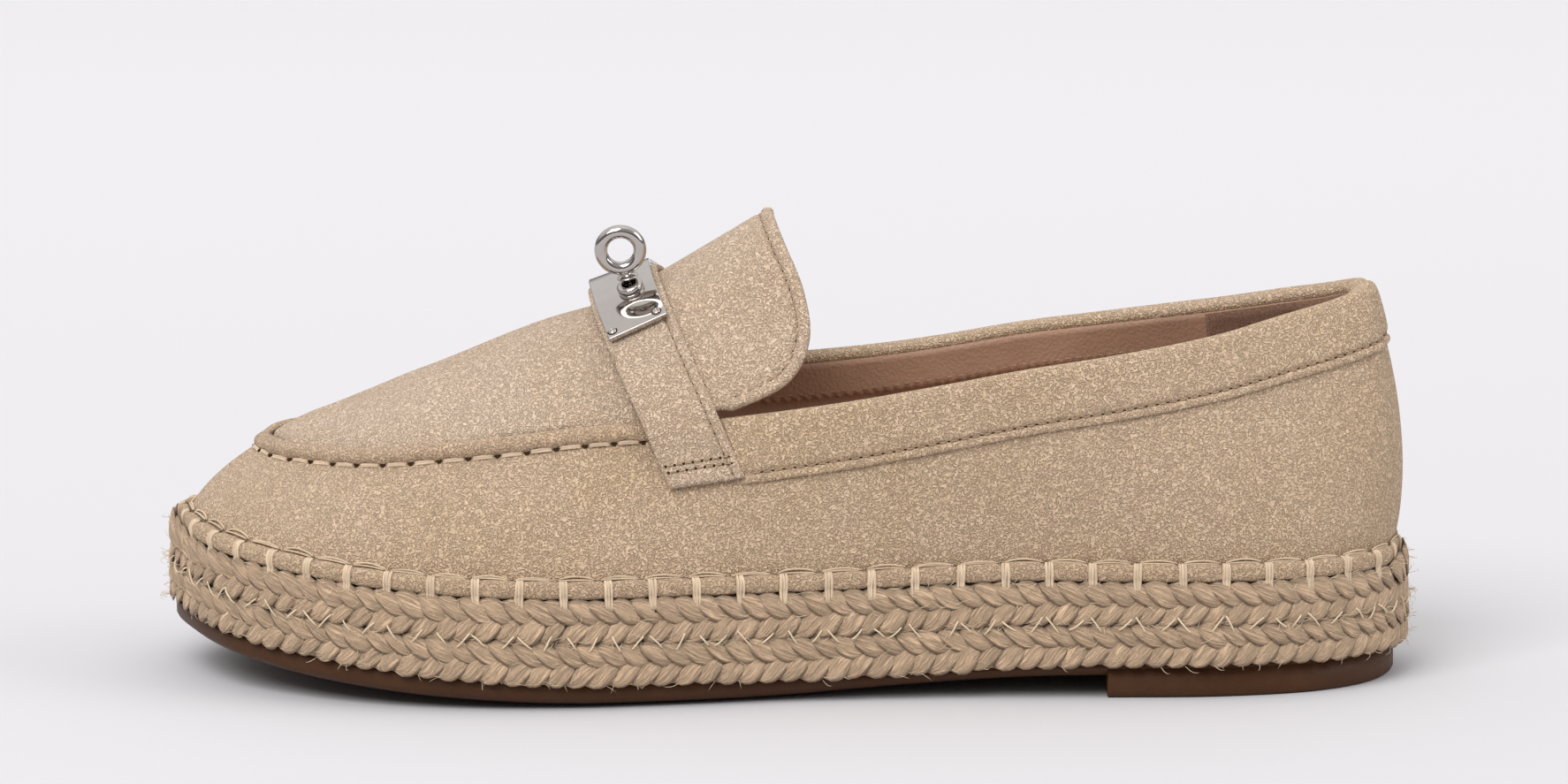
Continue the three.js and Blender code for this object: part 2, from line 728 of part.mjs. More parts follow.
// The row of LAST where the strap's front edge lies, so that the strap keeps its width.
const strapFrontRow = (side, up) => {
  const rear = lastPoint(placeOf(strapRear, side), up);
  const reach = (row) => rear.distanceTo(lastPoint(placeOf(row, side), up));
  return solve(reach, strapWidth, strapRear, FRONT_ROW);
};
function acrossStrap(side, up, share, distance) {
  const row = strapRear + (strapFrontRow(side, up) - strapRear) * share;
  return lastOffset(placeOf(row, side), up, distance);
}
function alongStrap(make) {
  const inside = archStations(1, STRAP_ROWS).map((up) => make(1, up));
  const outside = archStations(-1, STRAP_ROWS).map((up) => make(-1, up));
  return [...inside, ...outside.slice(0, -1).reverse()];
}

// The strap lies on the wall at its ends and on the tongue over the instep.
function strapBase(side, up) {
  const edgeUp = throatUp(side) + TONGUE_EDGE;
  const share = Math.min(1, Math.max(0, (up - edgeUp + STRAP_LIFT) / STRAP_LIFT));
  return clearance + share * share * (3 - 2 * share) * (tongueThickness + clearance);
}
function strap() {
  const round = 0.05; // shares of the strap's width and thickness
  const shoulderAt = 0.55;
  const rings = alongStrap((side, up) => {
    const base = strapBase(side, up);
    const top = base + strapThickness;
    const shoulder = base + strapThickness * shoulderAt;
    return [
      acrossStrap(side, up, 1, base),
      acrossStrap(side, up, 0.5, base),
      acrossStrap(side, up, 0, base),
      acrossStrap(side, up, 0, shoulder),
      acrossStrap(side, up, round, top),
      acrossStrap(side, up, 0.5, top),
      acrossStrap(side, up, 1 - round, top),
      acrossStrap(side, up, 1, shoulder),
    ];
  });
  return loft(rings, false);
}

// The raised seam round the apron, sewn on over the line where wall and apron meet.
function seamRoll() {
  const half = seamRollWidth / 2;
  const step = 0.02; // rows
  const startUp = lineUp(placeOf(THROAT_ROW + ROLL_GUIDE, -1));
  const startRow = strapFrontRow(-1, startUp) + ROLL_START;
  const steps = (TOE_ROW - THROAT_ROW) * STEPS;
  const rings = [];
  for (let i = -steps; i <= steps; i++) {
    const row = TOE_ROW - (Math.abs(i) / steps) * (TOE_ROW - startRow);
    const place = placeOf(row, i <= 0 ? -1 : 1);
    const up = lineUp(place);
    const here = lastPoint(place, up);
    const ahead = placeOf(Math.min(TOE_ROW, row + step), i <= 0 ? -1 : 1);
    const behind = placeOf(row - step, i <= 0 ? -1 : 1);
    const along = lastPoint(ahead, lineUp(ahead)).sub(lastPoint(behind, lineUp(behind)));
    if (i > 0) along.negate();
    if (i === 0) along.set(0, 1, 0);
    const normal = lastNormal(place, up);
    const across = along.clone().cross(normal).normalize();
    rings.push(
      ROLL.map(({ side, height }) =>
        here
          .clone()
          .addScaledVector(across, side * half)
          .addScaledVector(normal, clearance + height * (seamRollHeight - clearance)),
      ),
    );
  }
  return loft(rings, false);
}

// The tongue lies under the strap on the vamp, and stands free behind the strap.
const TONGUE_STEP = 0.02; // rows from the strap's rear edge back to where the tongue leaves the vamp
const tongueRoot = strapRear - TONGUE_STEP;
const TONGUE_ROWS = [-1, -0.5, 0, 0.25, 0.5, 0.75, 0.93, 1];
function tongueGrid() {
  const columns = 8;
  const column = (side, share) => {
    const edgeUp = throatUp(side) + TONGUE_EDGE;
    const up = 1 - (1 - edgeUp) * share;
    const start = lastPoint(placeOf(tongueRoot, side), up);
    const front = solve(
      (row) => start.distanceTo(lastPoint(placeOf(row, side), up)),
      tongueTuck,
      tongueRoot,
      FRONT_ROW,
    );
    const flare = THREE.MathUtils.degToRad(
      tongueFlare * readTable(TONGUE, (row) => row.side, "flare", share * share),
    );
    const reach = tongueReach * readTable(TONGUE, (row) => row.side, "reach", share * share);
    const way = new THREE.Vector3(Math.cos(flare), 0, Math.sin(flare));
    return TONGUE_ROWS.map((step) =>
      step <= 0
        ? lastPoint(placeOf(tongueRoot - step * (front - tongueRoot), side), up)
        : start.clone().addScaledVector(way, reach * step),
    );
  };
  const shares = Array.from({ length: columns + 1 }, (unused, i) => i / columns);
  const inside = shares.map((share) => column(1, share)).reverse();
  const outside = shares.slice(1).map((share) => column(-1, share));
  return [...inside, ...outside];
}
const tongue = () => sheet(tongueGrid(), clearance, clearance + tongueThickness);

// Turn lock

// Points over the ridge at a distance from it, measured round the strap, outer side negative.
function archUp(distance) {
  const side = distance < 0 ? -1 : 1;
  const place = placeOf(THROAT_ROW + PLATE_GUIDE, side);
  const ridge = lastPoint(place, 1);
  const away = (down) => ridge.distanceTo(lastPoint(place, 1 - down));
  const down = solve(away, Math.abs(distance), 0, COLLAR_HIGHEST);
  return { side, up: 1 - down };
}
const plateLift = clearance + tongueThickness + clearance + strapThickness + clearance;

// The plate is flat between its ends and its two bends, over the strap's arch.
function plateHeight(distance) {
  const knots = PLATE_BENDS.map((share) => -plateOffset + plateLength * (share - 0.5));
  const next = knots.findIndex((knot, i) => i > 0 && distance <= knot + SMALL);
  const fromMiddle = distance - (knots[next] + knots[next - 1]) / 2;
  return plateLift + (fromMiddle * fromMiddle) / (2 * archRadius);
}
function plateGrid() {
  const margin = (1 - plateWidth / strapWidth) / 2;
  return Array.from({ length: PLATE_STEPS + 1 }, (unused, i) => {
    const distance = -plateOffset + plateLength * (i / PLATE_STEPS - 0.5);
    return [margin, 0.5, 1 - margin].map((share) => {
      const { side, up } = archUp(distance - plateSkew * (share - 0.5) * strapWidth);
      return acrossStrap(side, up, share, plateHeight(distance));
    });
  });
}
const lockPlate = () => sheet(plateGrid(), 0, plateThickness);

// A point on the plate's face and the direction that faces away from it.
function onPlate(distance, share) {
  const { side, up } = archUp(distance - plateSkew * (share - 0.5) * strapWidth);
  const row = strapRear + (strapFrontRow(side, up) - strapRear) * share;
  const place = placeOf(row, side);
  const away = plateHeight(distance) + plateThickness;
  return { point: lastOffset(place, up, away), normal: lastNormal(place, up) };
}

const turnTo = (direction) =>
  new THREE.Quaternion().setFromUnitVectors(new THREE.Vector3(0, 0, 1), direction);
const lathe = (profile, segments) =>
  new THREE.LatheGeometry(
    profile.map(([radius, height]) => new THREE.Vector2(radius, height)),
    segments,
  ).rotateX(Math.PI / 2);

const rivet = () =>
  lathe(
    [
      [0, 0],
      [rivetRadius, 0],
      [rivetRadius, rivetHeight * RIVET_DOME.rim],
      [rivetRadius * RIVET_DOME.top, rivetHeight],
      [0, rivetHeight],
    ],
    SIDES.rivet,
  );

const postAxis = new THREE.Vector3(
  -Math.tan(THREE.MathUtils.degToRad(postLean)),
  -Math.tan(THREE.MathUtils.degToRad(postTilt)),
  1,
).normalize();

// The boss is a washer on the plate, round the toggle's stem. tilt: the angle between the two.
function lockBoss(tilt) {
  const bore = stemRadius + clearance + bossHeight * Math.tan(tilt);
  return lathe(
    [
      [bore, 0],
      [bossRadius, 0],
      [bossRadius, bossHeight * BOSS_RIM],
      [bossRadius - bossChamfer, bossHeight],
      [bore, bossHeight],
      [bore, 0],
    ],
    SIDES.boss,
  );
}

// The toggle is a ring on a waisted stem, and turns about the post. gap: its lift over the boss.
function lockToggle(gap) {
  const seat = bossHeight + gap;
  const neck = stemRadius * NECK;
  const ringFoot = ringLift - ringRadius - ringWire * STEM_END.sunk;
  const stem = lathe(
    [
      [0, gap],
      [stemRadius, gap],
      [stemRadius, seat],
      [flangeRadius, seat],
      [flangeRadius, seat + flangeHeight],
      [neck, (seat + flangeHeight + ringFoot) / 2],
      [ringWire * STEM_END.radius, ringFoot],
      [ringWire * STEM_END.tip, ringFoot + flangeHeight],
      [0, ringFoot + flangeHeight],
    ],
    SIDES.stem,
  );
  const ring = new THREE.TorusGeometry(ringRadius, ringWire, SIDES.wire, SIDES.ring);
  ring.rotateX(Math.PI / 2);
  ring.translate(0, 0, ringLift);
  return toGeometry(toSolid(stem).add(toSolid(ring)));
}

// Assembly

const finish = (color, roughness, metalness = 0) => ({ color, roughness, metalness });
const FINISHES = {
  rubber: finish(0x4a3324, 0.55),
  jute: finish(0xb79f7f, 0.95),
  suede: finish(0xc4a988, 0.9),
  lining: finish(0x9c8070, 0.6),
  metal: finish(0xb9b7b4, 0.15, 1),
};
function piece(name, geometry, material) {
  const mesh = new THREE.Mesh(geometry, new THREE.MeshStandardMaterial(FINISHES[material]));
  mesh.name = name;
  return mesh;
}

const shoe = new THREE.Group();
shoe.add(
  piece("outsole", outsole(), "rubber"),
  piece("jute_course_lower", braidCourse(0), "jute"),
  piece("jute_course_upper", braidCourse(1), "jute"),
  piece("sole_binding", soleBinding(), "suede"),
  piece("insole", insole(), "lining"),
  piece("upper", upper(), "suede"),
  piece("apron_seam_roll", seamRoll(), "suede"),
  piece("collar_binding", collarBinding(), "suede"),
  piece("tongue", tongue(), "suede"),
  piece("strap", strap(), "suede"),
);

const lock = new THREE.Group();
lock.add(piece("lock_plate", lockPlate(), "metal"));
const rivetReach = plateLength / 2 - rivetMargin;
const rivetEdge = (1 - plateWidth / strapWidth) / 2 + rivetMargin / strapWidth;
for (const [name, end, share] of [
  ["rivet_outer_rear", -1, rivetEdge],
  ["rivet_outer_front", -1, 1 - rivetEdge],
  ["rivet_inner_rear", 1, rivetEdge],
  ["rivet_inner_front", 1, 1 - rivetEdge],
]) {
  const { point, normal } = onPlate(-plateOffset + end * rivetReach, share);
  const mesh = piece(name, rivet(), "metal");
  mesh.position.copy(point).addScaledVector(normal, clearance);
  mesh.quaternion.copy(turnTo(normal));
  lock.add(mesh);
}
const { point: lockSeat, normal: seatNormal } = onPlate(-postOffset, 0.5 - postSetback / strapWidth);
const seatTilt = postAxis.angleTo(seatNormal);
const boss = piece("lock_boss", lockBoss(seatTilt), "metal");
boss.position.copy(lockSeat).addScaledVector(seatNormal, clearance);
boss.quaternion.copy(turnTo(seatNormal));
const toggleGap = clearance + flangeRadius * Math.sin(seatTilt);
const toggle = piece("lock_toggle", lockToggle(toggleGap), "metal");
toggle.position.copy(boss.position);
toggle.quaternion.copy(turnTo(postAxis));
lock.add(boss, toggle);
shoe.add(lock);

export default shoe;
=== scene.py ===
"""Dresses the CAD model of a suede espadrille loafer with its materials and stitches."""

import json
import math

import bmesh
import bpy
import numpy as np
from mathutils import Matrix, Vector


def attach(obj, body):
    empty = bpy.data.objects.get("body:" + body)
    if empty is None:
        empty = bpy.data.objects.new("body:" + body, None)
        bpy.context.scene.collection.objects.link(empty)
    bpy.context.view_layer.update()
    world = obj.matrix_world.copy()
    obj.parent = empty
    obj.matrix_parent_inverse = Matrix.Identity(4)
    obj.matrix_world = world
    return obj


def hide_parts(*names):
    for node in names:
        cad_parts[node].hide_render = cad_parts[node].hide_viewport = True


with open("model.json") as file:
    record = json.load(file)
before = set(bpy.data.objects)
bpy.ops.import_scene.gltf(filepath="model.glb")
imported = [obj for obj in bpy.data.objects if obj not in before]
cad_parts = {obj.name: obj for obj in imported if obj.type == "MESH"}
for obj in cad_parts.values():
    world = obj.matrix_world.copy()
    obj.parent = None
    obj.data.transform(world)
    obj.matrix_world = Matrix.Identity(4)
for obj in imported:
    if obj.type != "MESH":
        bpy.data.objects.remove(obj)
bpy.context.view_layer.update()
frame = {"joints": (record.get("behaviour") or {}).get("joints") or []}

bl_info = {
    "name": "Espadrille Loafer",
    "version": (1, 0, 0),
    "blender": (4, 5, 0),
    "location": "View3D > Sidebar > Shoe",
    "description": "Dresses a suede espadrille loafer on its CAD frame",
    "category": "Add Mesh",
}

MM = 0.001
BODY = "shoe"
TOGGLE_BODY = "toggle"

# The last and the sole, in millimetres, as the CAD model has them.
SOLE_LENGTH = 260.0
BALL_WIDTH = 94.0
HEEL_TO_BACK = 35.0
HEEL_BREAST = 29.0
HEEL_LIFT = 3.7
OUTSOLE_THICKNESS = 4.2
TOE_SPRING = 9.0
COURSE_HEIGHT = 9.1
OUTSOLE_INSET_HEEL = 2.6
OUTSOLE_INSET_TOE = 0.8
CLEARANCE = 0.3
WALL_THICKNESS = 2.0
FEATHER_INSET = 3.4
INSTEP_RISE = 58.0
BACK_RISE = 58.3
SIDE_RISE = 35.3
INSOLE_THICKNESS = 2.6
BINDING_HEIGHT = 3.4
BAND_THICKNESS = 1.1
ROLL_HEIGHT = 2.6
TONGUE_THICKNESS = 1.8
TONGUE_REACH = 26.5
TONGUE_FLARE = 31.0
TONGUE_TUCK = 11.0
STRAP_WIDTH = 15.6
STRAP_THICKNESS = 1.5
STRAP_RISE = 23.0
PLATE_WIDTH = 13.8
PLATE_LENGTH = 29.4
PLATE_THICKNESS = 1.1
ARCH_RADIUS = 24.0
PLATE_OFFSET = 6.8
PLATE_SKEW = 0.16
POST_OFFSET = 11.7
POST_SETBACK = 2.3
SCREW_MARGIN = 1.6
RING_RADIUS = 4.05
RING_WIRE = 1.38
RING_LIFT = 8.4

# Share of the strap's width that the plate leaves free on each side.
PLATE_MARGIN = (1 - PLATE_WIDTH / STRAP_WIDTH) / 2
# Stitches in the lining: pitch, length and radius.
LINING_STITCH = (2.3, 1.7, 0.17)

# The last, row by row from the back of the heel to the toe, as shares of the sizes above.
LAST_NAMES = "along outer inner ridge top wall bulge crown reach drop line".split()
LAST = np.array([
    [0.0, 0.0, 0.0, 0.127, 1.72, 0.45, 0.082, 0.5, 0.87, 0.52, 0.46],
    [0.02, 0.176, 0.181, 0.13, 1.72, 0.45, 0.072, 0.22, 0.95, 0.51, 0.46],
    [0.07, 0.298, 0.303, 0.145, 1.71, 0.44, 0.064, 0.27, 0.95, 0.47, 0.46],
    [0.15, 0.362, 0.356, 0.19, 1.68, 0.43, 0.064, 0.56, 0.9, 0.36, 0.46],
    [0.25, 0.374, 0.346, 0.3, 1.57, 0.42, 0.062, 0.88, 0.85, 0.24, 0.46],
    [0.38, 0.378, 0.324, 0.455, 1.32, 0.38, 0.055, 0.95, 0.8, 0.1, 0.46],
    [0.5, 0.412, 0.365, 0.609, 1.0, 0.33, 0.042, 0.76, 0.72, 0.0, 0.46],
    [0.585, 0.459, 0.423, 0.696, 0.87, 0.29, 0.036, 0.69, 0.68, 0.0, 0.5],
    [0.67, 0.495, 0.479, 0.752, 0.76, 0.25, 0.03, 0.64, 0.64, 0.0, 0.53],
    [0.75, 0.5, 0.5, 0.798, 0.658, 0.22, 0.024, 0.61, 0.61, 0.0, 0.557],
    [0.82, 0.468, 0.484, 0.832, 0.58, 0.19, 0.018, 0.58, 0.58, 0.0, 0.578],
    [0.89, 0.388, 0.431, 0.853, 0.533, 0.155, 0.012, 0.55, 0.55, 0.0, 0.605],
    [0.95, 0.266, 0.335, 0.864, 0.509, 0.135, 0.008, 0.52, 0.52, 0.0, 0.635],
    [0.985, 0.106, 0.202, 0.871, 0.495, 0.125, 0.006, 0.5, 0.5, 0.0, 0.672],
    [1.0, -0.043, 0.043, 0.877, 0.482, 0.12, 0.005, 0.5, 0.5, 0.0, 0.7],
])
# The ridge of the last moves to the inner side along the shoe.
RIDGE_SHIFT = np.array([[0.12, 0.0], [0.45, 0.012], [0.6, 0.022], [0.75, 0.034], [0.88, 0.043]])
SOLE_NAMES = "along lift spring rubber braid".split()
SOLE = np.array([
    [0.0, 1.0, 0.0, 0.81, 0.94],
    [0.15, 1.0, 0.0, 0.79, 0.945],
    [0.25, 1.0, 0.0, 0.81, 0.955],
    [0.31, 0.93, 0.0, 0.79, 0.985],
    [0.38, 0.65, 0.0, 0.8, 1.0],
    [0.44, 0.37, 0.0, 0.89, 1.0],
    [0.5, 0.09, 0.0, 1.07, 0.995],
    [0.55, 0.0, 0.0, 1.16, 0.99],
    [0.66, 0.0, 0.0, 1.17, 0.985],
    [0.75, 0.0, 0.125, 1.22, 0.95],
    [0.82, 0.0, 0.28, 1.28, 0.92],
    [0.89, 0.0, 0.49, 1.31, 0.9],
    [0.95, 0.0, 0.76, 1.3, 0.88],
    [1.0, 0.0, 1.0, 1.35, 0.87],
])
# The topline's climb along the shoe, on the outer and on the inner side.
TOPLINE = np.array([
    [0.03, 1.0, 1.0],
    [0.062, 0.9, 0.9],
    [0.1, 0.81, 0.81],
    [0.16, 0.66, 0.66],
    [0.28, 0.43, 0.445],
    [0.4, 0.23, 0.28],
    [0.56, 0.0, 0.16],
])
# The tongue's reach and flare, from its middle to its sides.
TONGUE = np.array([
    [0.0, 1.0, 1.0],
    [0.1, 0.99, 0.88],
    [0.3, 0.98, 0.6],
    [0.55, 0.88, 0.34],
    [0.8, 0.6, 0.15],
    [1.0, 0.12, 0.05],
])
PLATE_BENDS = (0.0, 0.3, 0.72, 1.0)
THROAT_ROW = 6
TOE_ROW = 14
FRONT_ROW = 8
STRAP_REAR = THROAT_ROW - 0.06
TONGUE_ROOT = STRAP_REAR - 0.02
SMALL = 1e-3


# The last's form


def smooth_curve(keys, values, key):
    """A smooth curve through values at rising keys, read at a key."""
    key = np.asarray(key, float)
    last = len(keys) - 1
    i = np.searchsorted(keys[1:last], key, side="left")
    after = np.minimum(np.arange(last + 1) + 1, last)
    before = np.maximum(np.arange(last + 1) - 1, 0)
    slope = (values[after] - values[before]) / (keys[after] - keys[before])
    span = keys[i + 1] - keys[i]
    s = np.clip((key - keys[i]) / span, 0, 1)
    s2, s3 = s * s, s * s * s
    return (
        values[i] * (2 * s3 - 3 * s2 + 1)
        + slope[i] * span * (s3 - 2 * s2 + s)
        + values[i + 1] * (3 * s2 - 2 * s3)
        + slope[i + 1] * span * (s3 - s2)
    )


def unit(vectors):
    return vectors / np.linalg.norm(vectors, axis=-1, keepdims=True)


def last_value(name, row):
    return smooth_curve(np.arange(len(LAST), dtype=float), LAST[:, LAST_NAMES.index(name)], row)


def sole_value(name, along):
    return smooth_curve(SOLE[:, 0], SOLE[:, SOLE_NAMES.index(name)], along)


def along_at(x):
    return (HEEL_TO_BACK - x) / SOLE_LENGTH


def x_at(along):
    return HEEL_TO_BACK - along * SOLE_LENGTH


def solve(rising, value, low, high):
    """Finds where a function that rises with its input reaches a value."""
    value = np.asarray(value, float)
    low = np.zeros_like(value) + low
    high = np.zeros_like(value) + high
    for _ in range(30):
        middle = (low + high) / 2
        below = rising(middle) < value
        low = np.where(below, middle, low)
        high = np.where(below, high, middle)
    return (low + high) / 2


def place_of(row, side):
    """A place round the shoe: 0 at the heel, along the outer side to 0.5 at the toe, and back."""
    return np.where(np.asarray(side) < 0, row, 2 * TOE_ROW - row) / (2 * TOE_ROW)


def row_of(place):
    return np.minimum(place, 1 - place) * 2 * TOE_ROW


CORNERS = np.concatenate([
    np.stack([x_at(LAST[:, 0]), -LAST[:, 1] * BALL_WIDTH], 1),
    np.stack([x_at(LAST[:, 0]), LAST[:, 2] * BALL_WIDTH], 1)[-2:0:-1],
])


def outline_at(place):
    p = np.mod(place, 1.0) * len(CORNERS)
    i = np.floor(p).astype(int)
    w = (p - i)[..., None]
    a, b, c, d = (CORNERS[(i + k) % len(CORNERS)] for k in (-1, 0, 1, 2))
    steps = (b - a, c - b, d - c)
    gap = [np.sqrt(np.linalg.norm(step, axis=-1, keepdims=True)) for step in steps]
    leave = ((b - a) / gap[0] - (c - a) / (gap[0] + gap[1]) + (c - b) / gap[1]) * gap[1]
    arrive = ((c - b) / gap[1] - (d - b) / (gap[1] + gap[2]) + (d - c) / gap[2]) * gap[1]
    bend = -3 * b + 3 * c - 2 * leave - arrive
    twist = 2 * b - 2 * c + leave + arrive
    return b + leave * w + bend * w * w + twist * w * w * w


def edge(place, inset=0.0):
    """A point of the outline, moved in from the braid's edge, and the direction that faces out."""
    place = np.asarray(place, float)
    step = outline_at(place + SMALL) - outline_at(place - SMALL)
    out = unit(np.stack([-step[..., 1], step[..., 0]], -1))
    point = outline_at(place) - out * np.asarray(inset)[..., None]
    zero = np.zeros(point.shape[:-1] + (1,))
    return np.concatenate([point, zero], -1), np.concatenate([out, zero], -1)


def tread_height(x):
    along = along_at(x)
    lift = np.maximum(0, sole_value("lift", along)) * HEEL_LIFT
    return lift + np.maximum(0, sole_value("spring", along)) * TOE_SPRING


def rubber_top(x):
    return tread_height(x) + sole_value("rubber", along_at(x)) * OUTSOLE_THICKNESS


def course_at(x):
    return sole_value("braid", along_at(x)) * COURSE_HEIGHT


def sole_top(x):
    return rubber_top(x) + 2 * course_at(x)


def handles(place):
    """The four handles of a section of the last, from the foot of the upper to the ridge."""
    row = row_of(place)
    foot, out = edge(place, np.full(np.shape(place), FEATHER_INSET))
    foot[..., 2] = sole_top(foot[..., 0]) + CLEARANCE
    along = last_value("ridge", row)
    ridge = np.zeros_like(foot)
    ridge[..., 0] = x_at(along)
    ridge[..., 1] = smooth_curve(RIDGE_SHIFT[:, 0], RIDGE_SHIFT[:, 1], along) * BALL_WIDTH
    ridge[..., 2] = sole_top(ridge[..., 0]) + last_value("top", row) * INSTEP_RISE
    near = np.minimum(row + SMALL, TOE_ROW)
    back = near - 2 * SMALL
    near_x, back_x = x_at(last_value("ridge", near)), x_at(last_value("ridge", back))
    climb = (last_value("top", back) - last_value("top", near)) * INSTEP_RISE
    slope = (sole_top(back_x) - sole_top(near_x) + climb) / (back_x - near_x)
    facing = 1 - out[..., 1] ** 4
    wall = last_value("wall", row) * INSTEP_RISE
    drop = last_value("drop", row) * INSTEP_RISE
    crown = last_value("crown", row)
    lean = (ridge[..., 0] - foot[..., 0]) / (ridge[..., 2] - foot[..., 2]) * (1 - facing)
    low = foot + out * (last_value("bulge", row) * BALL_WIDTH)[..., None]
    low[..., 0] += lean * wall
    low[..., 2] += wall
    reach = facing * last_value("reach", row) * (foot[..., 0] - ridge[..., 0])
    high = np.stack([
        ridge[..., 0] + reach - lean * drop,
        ridge[..., 1] + crown * (foot[..., 1] - ridge[..., 1]),
        ridge[..., 2] - drop + slope * reach,
    ], -1)
    return foot, low, high, ridge


def along_section(section, up):
    t = np.clip(np.asarray(up, float), 0, 1)[..., None]
    foot, low, high, ridge = section
    u = 1 - t
    return foot * u**3 + low * 3 * u * u * t + high * 3 * u * t * t + ridge * t**3


def last_normal(place, up):
    section = handles(place)
    rise = along_section(section, up + SMALL) - along_section(section, up - SMALL)
    step = SMALL / TOE_ROW
    beside = np.minimum(up, 0.98)
    ahead = along_section(handles((place + step) % 1), beside)
    behind = along_section(handles((place + 1 - step) % 1), beside)
    return unit(np.cross(rise, ahead - behind))


def on_last(place, up, away=None):
    """Points of the last, at a place round it and a way up its section, moved out by a distance."""
    place, up = np.broadcast_arrays(np.asarray(place, float), np.asarray(up, float))
    point = along_section(handles(place), up)
    if away is None:
        return point
    return point + last_normal(place, up) * np.broadcast_to(away, place.shape)[..., None]


def up_at_rise(place, rise):
    """How far up a section a height over the foot of the upper is reached."""
    place = np.asarray(place, float)
    section = handles(place)
    foot = section[0][..., 2]
    return solve(lambda up: along_section(section, up)[..., 2] - foot, rise + 0 * place, 0, 1)


def collar_up(place):
    """How far up a section the collar's edge lies."""
    place = np.asarray(place, float)
    section = handles(place)
    outer = place < 0.5

    def over(up):
        point = along_section(section, up)
        along = along_at(point[..., 0])
        climb = np.where(
            outer,
            smooth_curve(TOPLINE[:, 0], TOPLINE[:, 1], along),
            smooth_curve(TOPLINE[:, 0], TOPLINE[:, 2], along),
        )
        top = sole_top(point[..., 0]) + SIDE_RISE + climb * (BACK_RISE - SIDE_RISE)
        return point[..., 2] + BAND_THICKNESS + CLEARANCE - top

    return solve(over, 0 * place, 0.1, 0.9)


def collar_rise(place):
    """Height of the collar's edge over the foot of the upper."""
    top = collar_up(place)
    return on_last(place, top)[..., 2] - on_last(place, 0 * top)[..., 2]


def below_collar(place, down, away):
    """Points a height below the collar's edge, and a distance out from the last."""
    return on_last(place, up_at_rise(place, collar_rise(place) - down), away)


def throat_up(side):
    return collar_up(place_of(THROAT_ROW, side))


def line_up(place):
    """How far up a section the wall ends: at the collar's edge, and at the apron seam in front."""
    place = np.asarray(place, float)
    row = row_of(place)
    corner = np.where(place < 0.5, throat_up(-1), throat_up(1))
    share = np.maximum(0, 1 - (row - THROAT_ROW))
    seam = last_value("line", row) + share * (corner - LAST[THROAT_ROW, -1])
    return np.where(row <= THROAT_ROW + SMALL, collar_up(place), seam)


def strap_front_row(side, up):
    """The row where the strap's front edge lies."""
    rear = on_last(place_of(STRAP_REAR, side), up)

    def reach(row):
        return np.linalg.norm(rear - on_last(place_of(row, side), up), axis=-1)

    return solve(reach, STRAP_WIDTH + 0 * np.asarray(up, float), STRAP_REAR, FRONT_ROW)


def strap_place(side, up, share):
    """The place at a share of the strap's width from its rear edge."""
    row = STRAP_REAR + (strap_front_row(side, up) - STRAP_REAR) * share
    return place_of(row, side)


def across_strap(side, up, share, away):
    return on_last(strap_place(side, up, share), up, away)


def strap_base(side, up):
    """How far the strap's underside stands off the last, as it climbs over the tongue."""
    edge_up = throat_up(side) + 0.03
    share = np.clip((up - edge_up + 0.12) / 0.12, 0, 1)
    return CLEARANCE + share * share * (3 - 2 * share) * (TONGUE_THICKNESS + CLEARANCE)


def arch_up(distance):
    """The place over the ridge at a distance from it, outer side negative."""
    distance = np.asarray(distance, float)
    side = np.where(distance < 0, -1, 1)
    place = place_of(THROAT_ROW + 0.3, side)
    section = handles(place)
    ridge = along_section(section, 1 + 0 * distance)

    def away(down):
        return np.linalg.norm(ridge - along_section(section, 1 - down), axis=-1)

    return side, 1 - solve(away, np.abs(distance), 0, 0.9)


PLATE_LIFT = 3 * CLEARANCE + TONGUE_THICKNESS + STRAP_THICKNESS
PLATE_KNOTS = [-PLATE_OFFSET + PLATE_LENGTH * (share - 0.5) for share in PLATE_BENDS]


def plate_height(distance):
    """How far the plate's flat parts stand off the arch of the last."""
    n = min(max(int(np.searchsorted(PLATE_KNOTS, distance - SMALL)), 1), 3)
    middle = (PLATE_KNOTS[n] + PLATE_KNOTS[n - 1]) / 2
    return PLATE_LIFT + (distance - middle) ** 2 / (2 * ARCH_RADIUS)


def on_plate(distance, share, lift=0.0):
    side, up = arch_up(distance - PLATE_SKEW * (share - 0.5) * STRAP_WIDTH)
    point = across_strap(side, up, share, plate_height(distance) + lift)
    return point, last_normal(strap_place(side, up, share), up)


def smoothstep(low, high, value):
    """Rises smoothly from 0 at the low value to 1 at the high one."""
    s = np.clip((value - low) / (high - low), 0, 1)
    return s * s * (3 - 2 * s)


# Creases and dents that the photograph shows: ends as place and way up, width and depth in
# millimetres. A negative depth is a soft ridge.
CREASES = (
    ((0.262, 0.30), (0.296, 0.16), 6.0, 0.45),
    ((0.286, 0.34), (0.318, 0.22), 5.0, -0.30),
    ((0.325, 0.36), (0.352, 0.25), 5.0, 0.35),
    ((0.372, 0.40), (0.398, 0.30), 6.0, -0.25),
    ((0.180, 0.22), (0.215, 0.14), 8.0, 0.35),
    ((0.095, 0.30), (0.120, 0.18), 8.0, -0.30),
    ((0.735, 0.30), (0.700, 0.16), 6.0, 0.45),
    ((0.690, 0.36), (0.662, 0.24), 6.0, -0.30),
    ((0.900, 0.30), (0.870, 0.18), 8.0, 0.30),
)


def dents(points):
    """How far soft creases move points of the upper in or out."""
    total = np.zeros(points.shape[:-1])
    for start, end, width, depth in CREASES:
        a, b = on_last(start[0], start[1]), on_last(end[0], end[1])
        way = b - a
        share = np.clip(((points - a) @ way) / (way @ way), 0, 1)
        near = np.linalg.norm(points - a - share[..., None] * way, axis=-1)
        total -= depth * np.exp(-((near / width) ** 2)) * (0.5 + 0.5 * np.sin(math.pi * share))
    return total


# Lines round the shoe that stitches follow


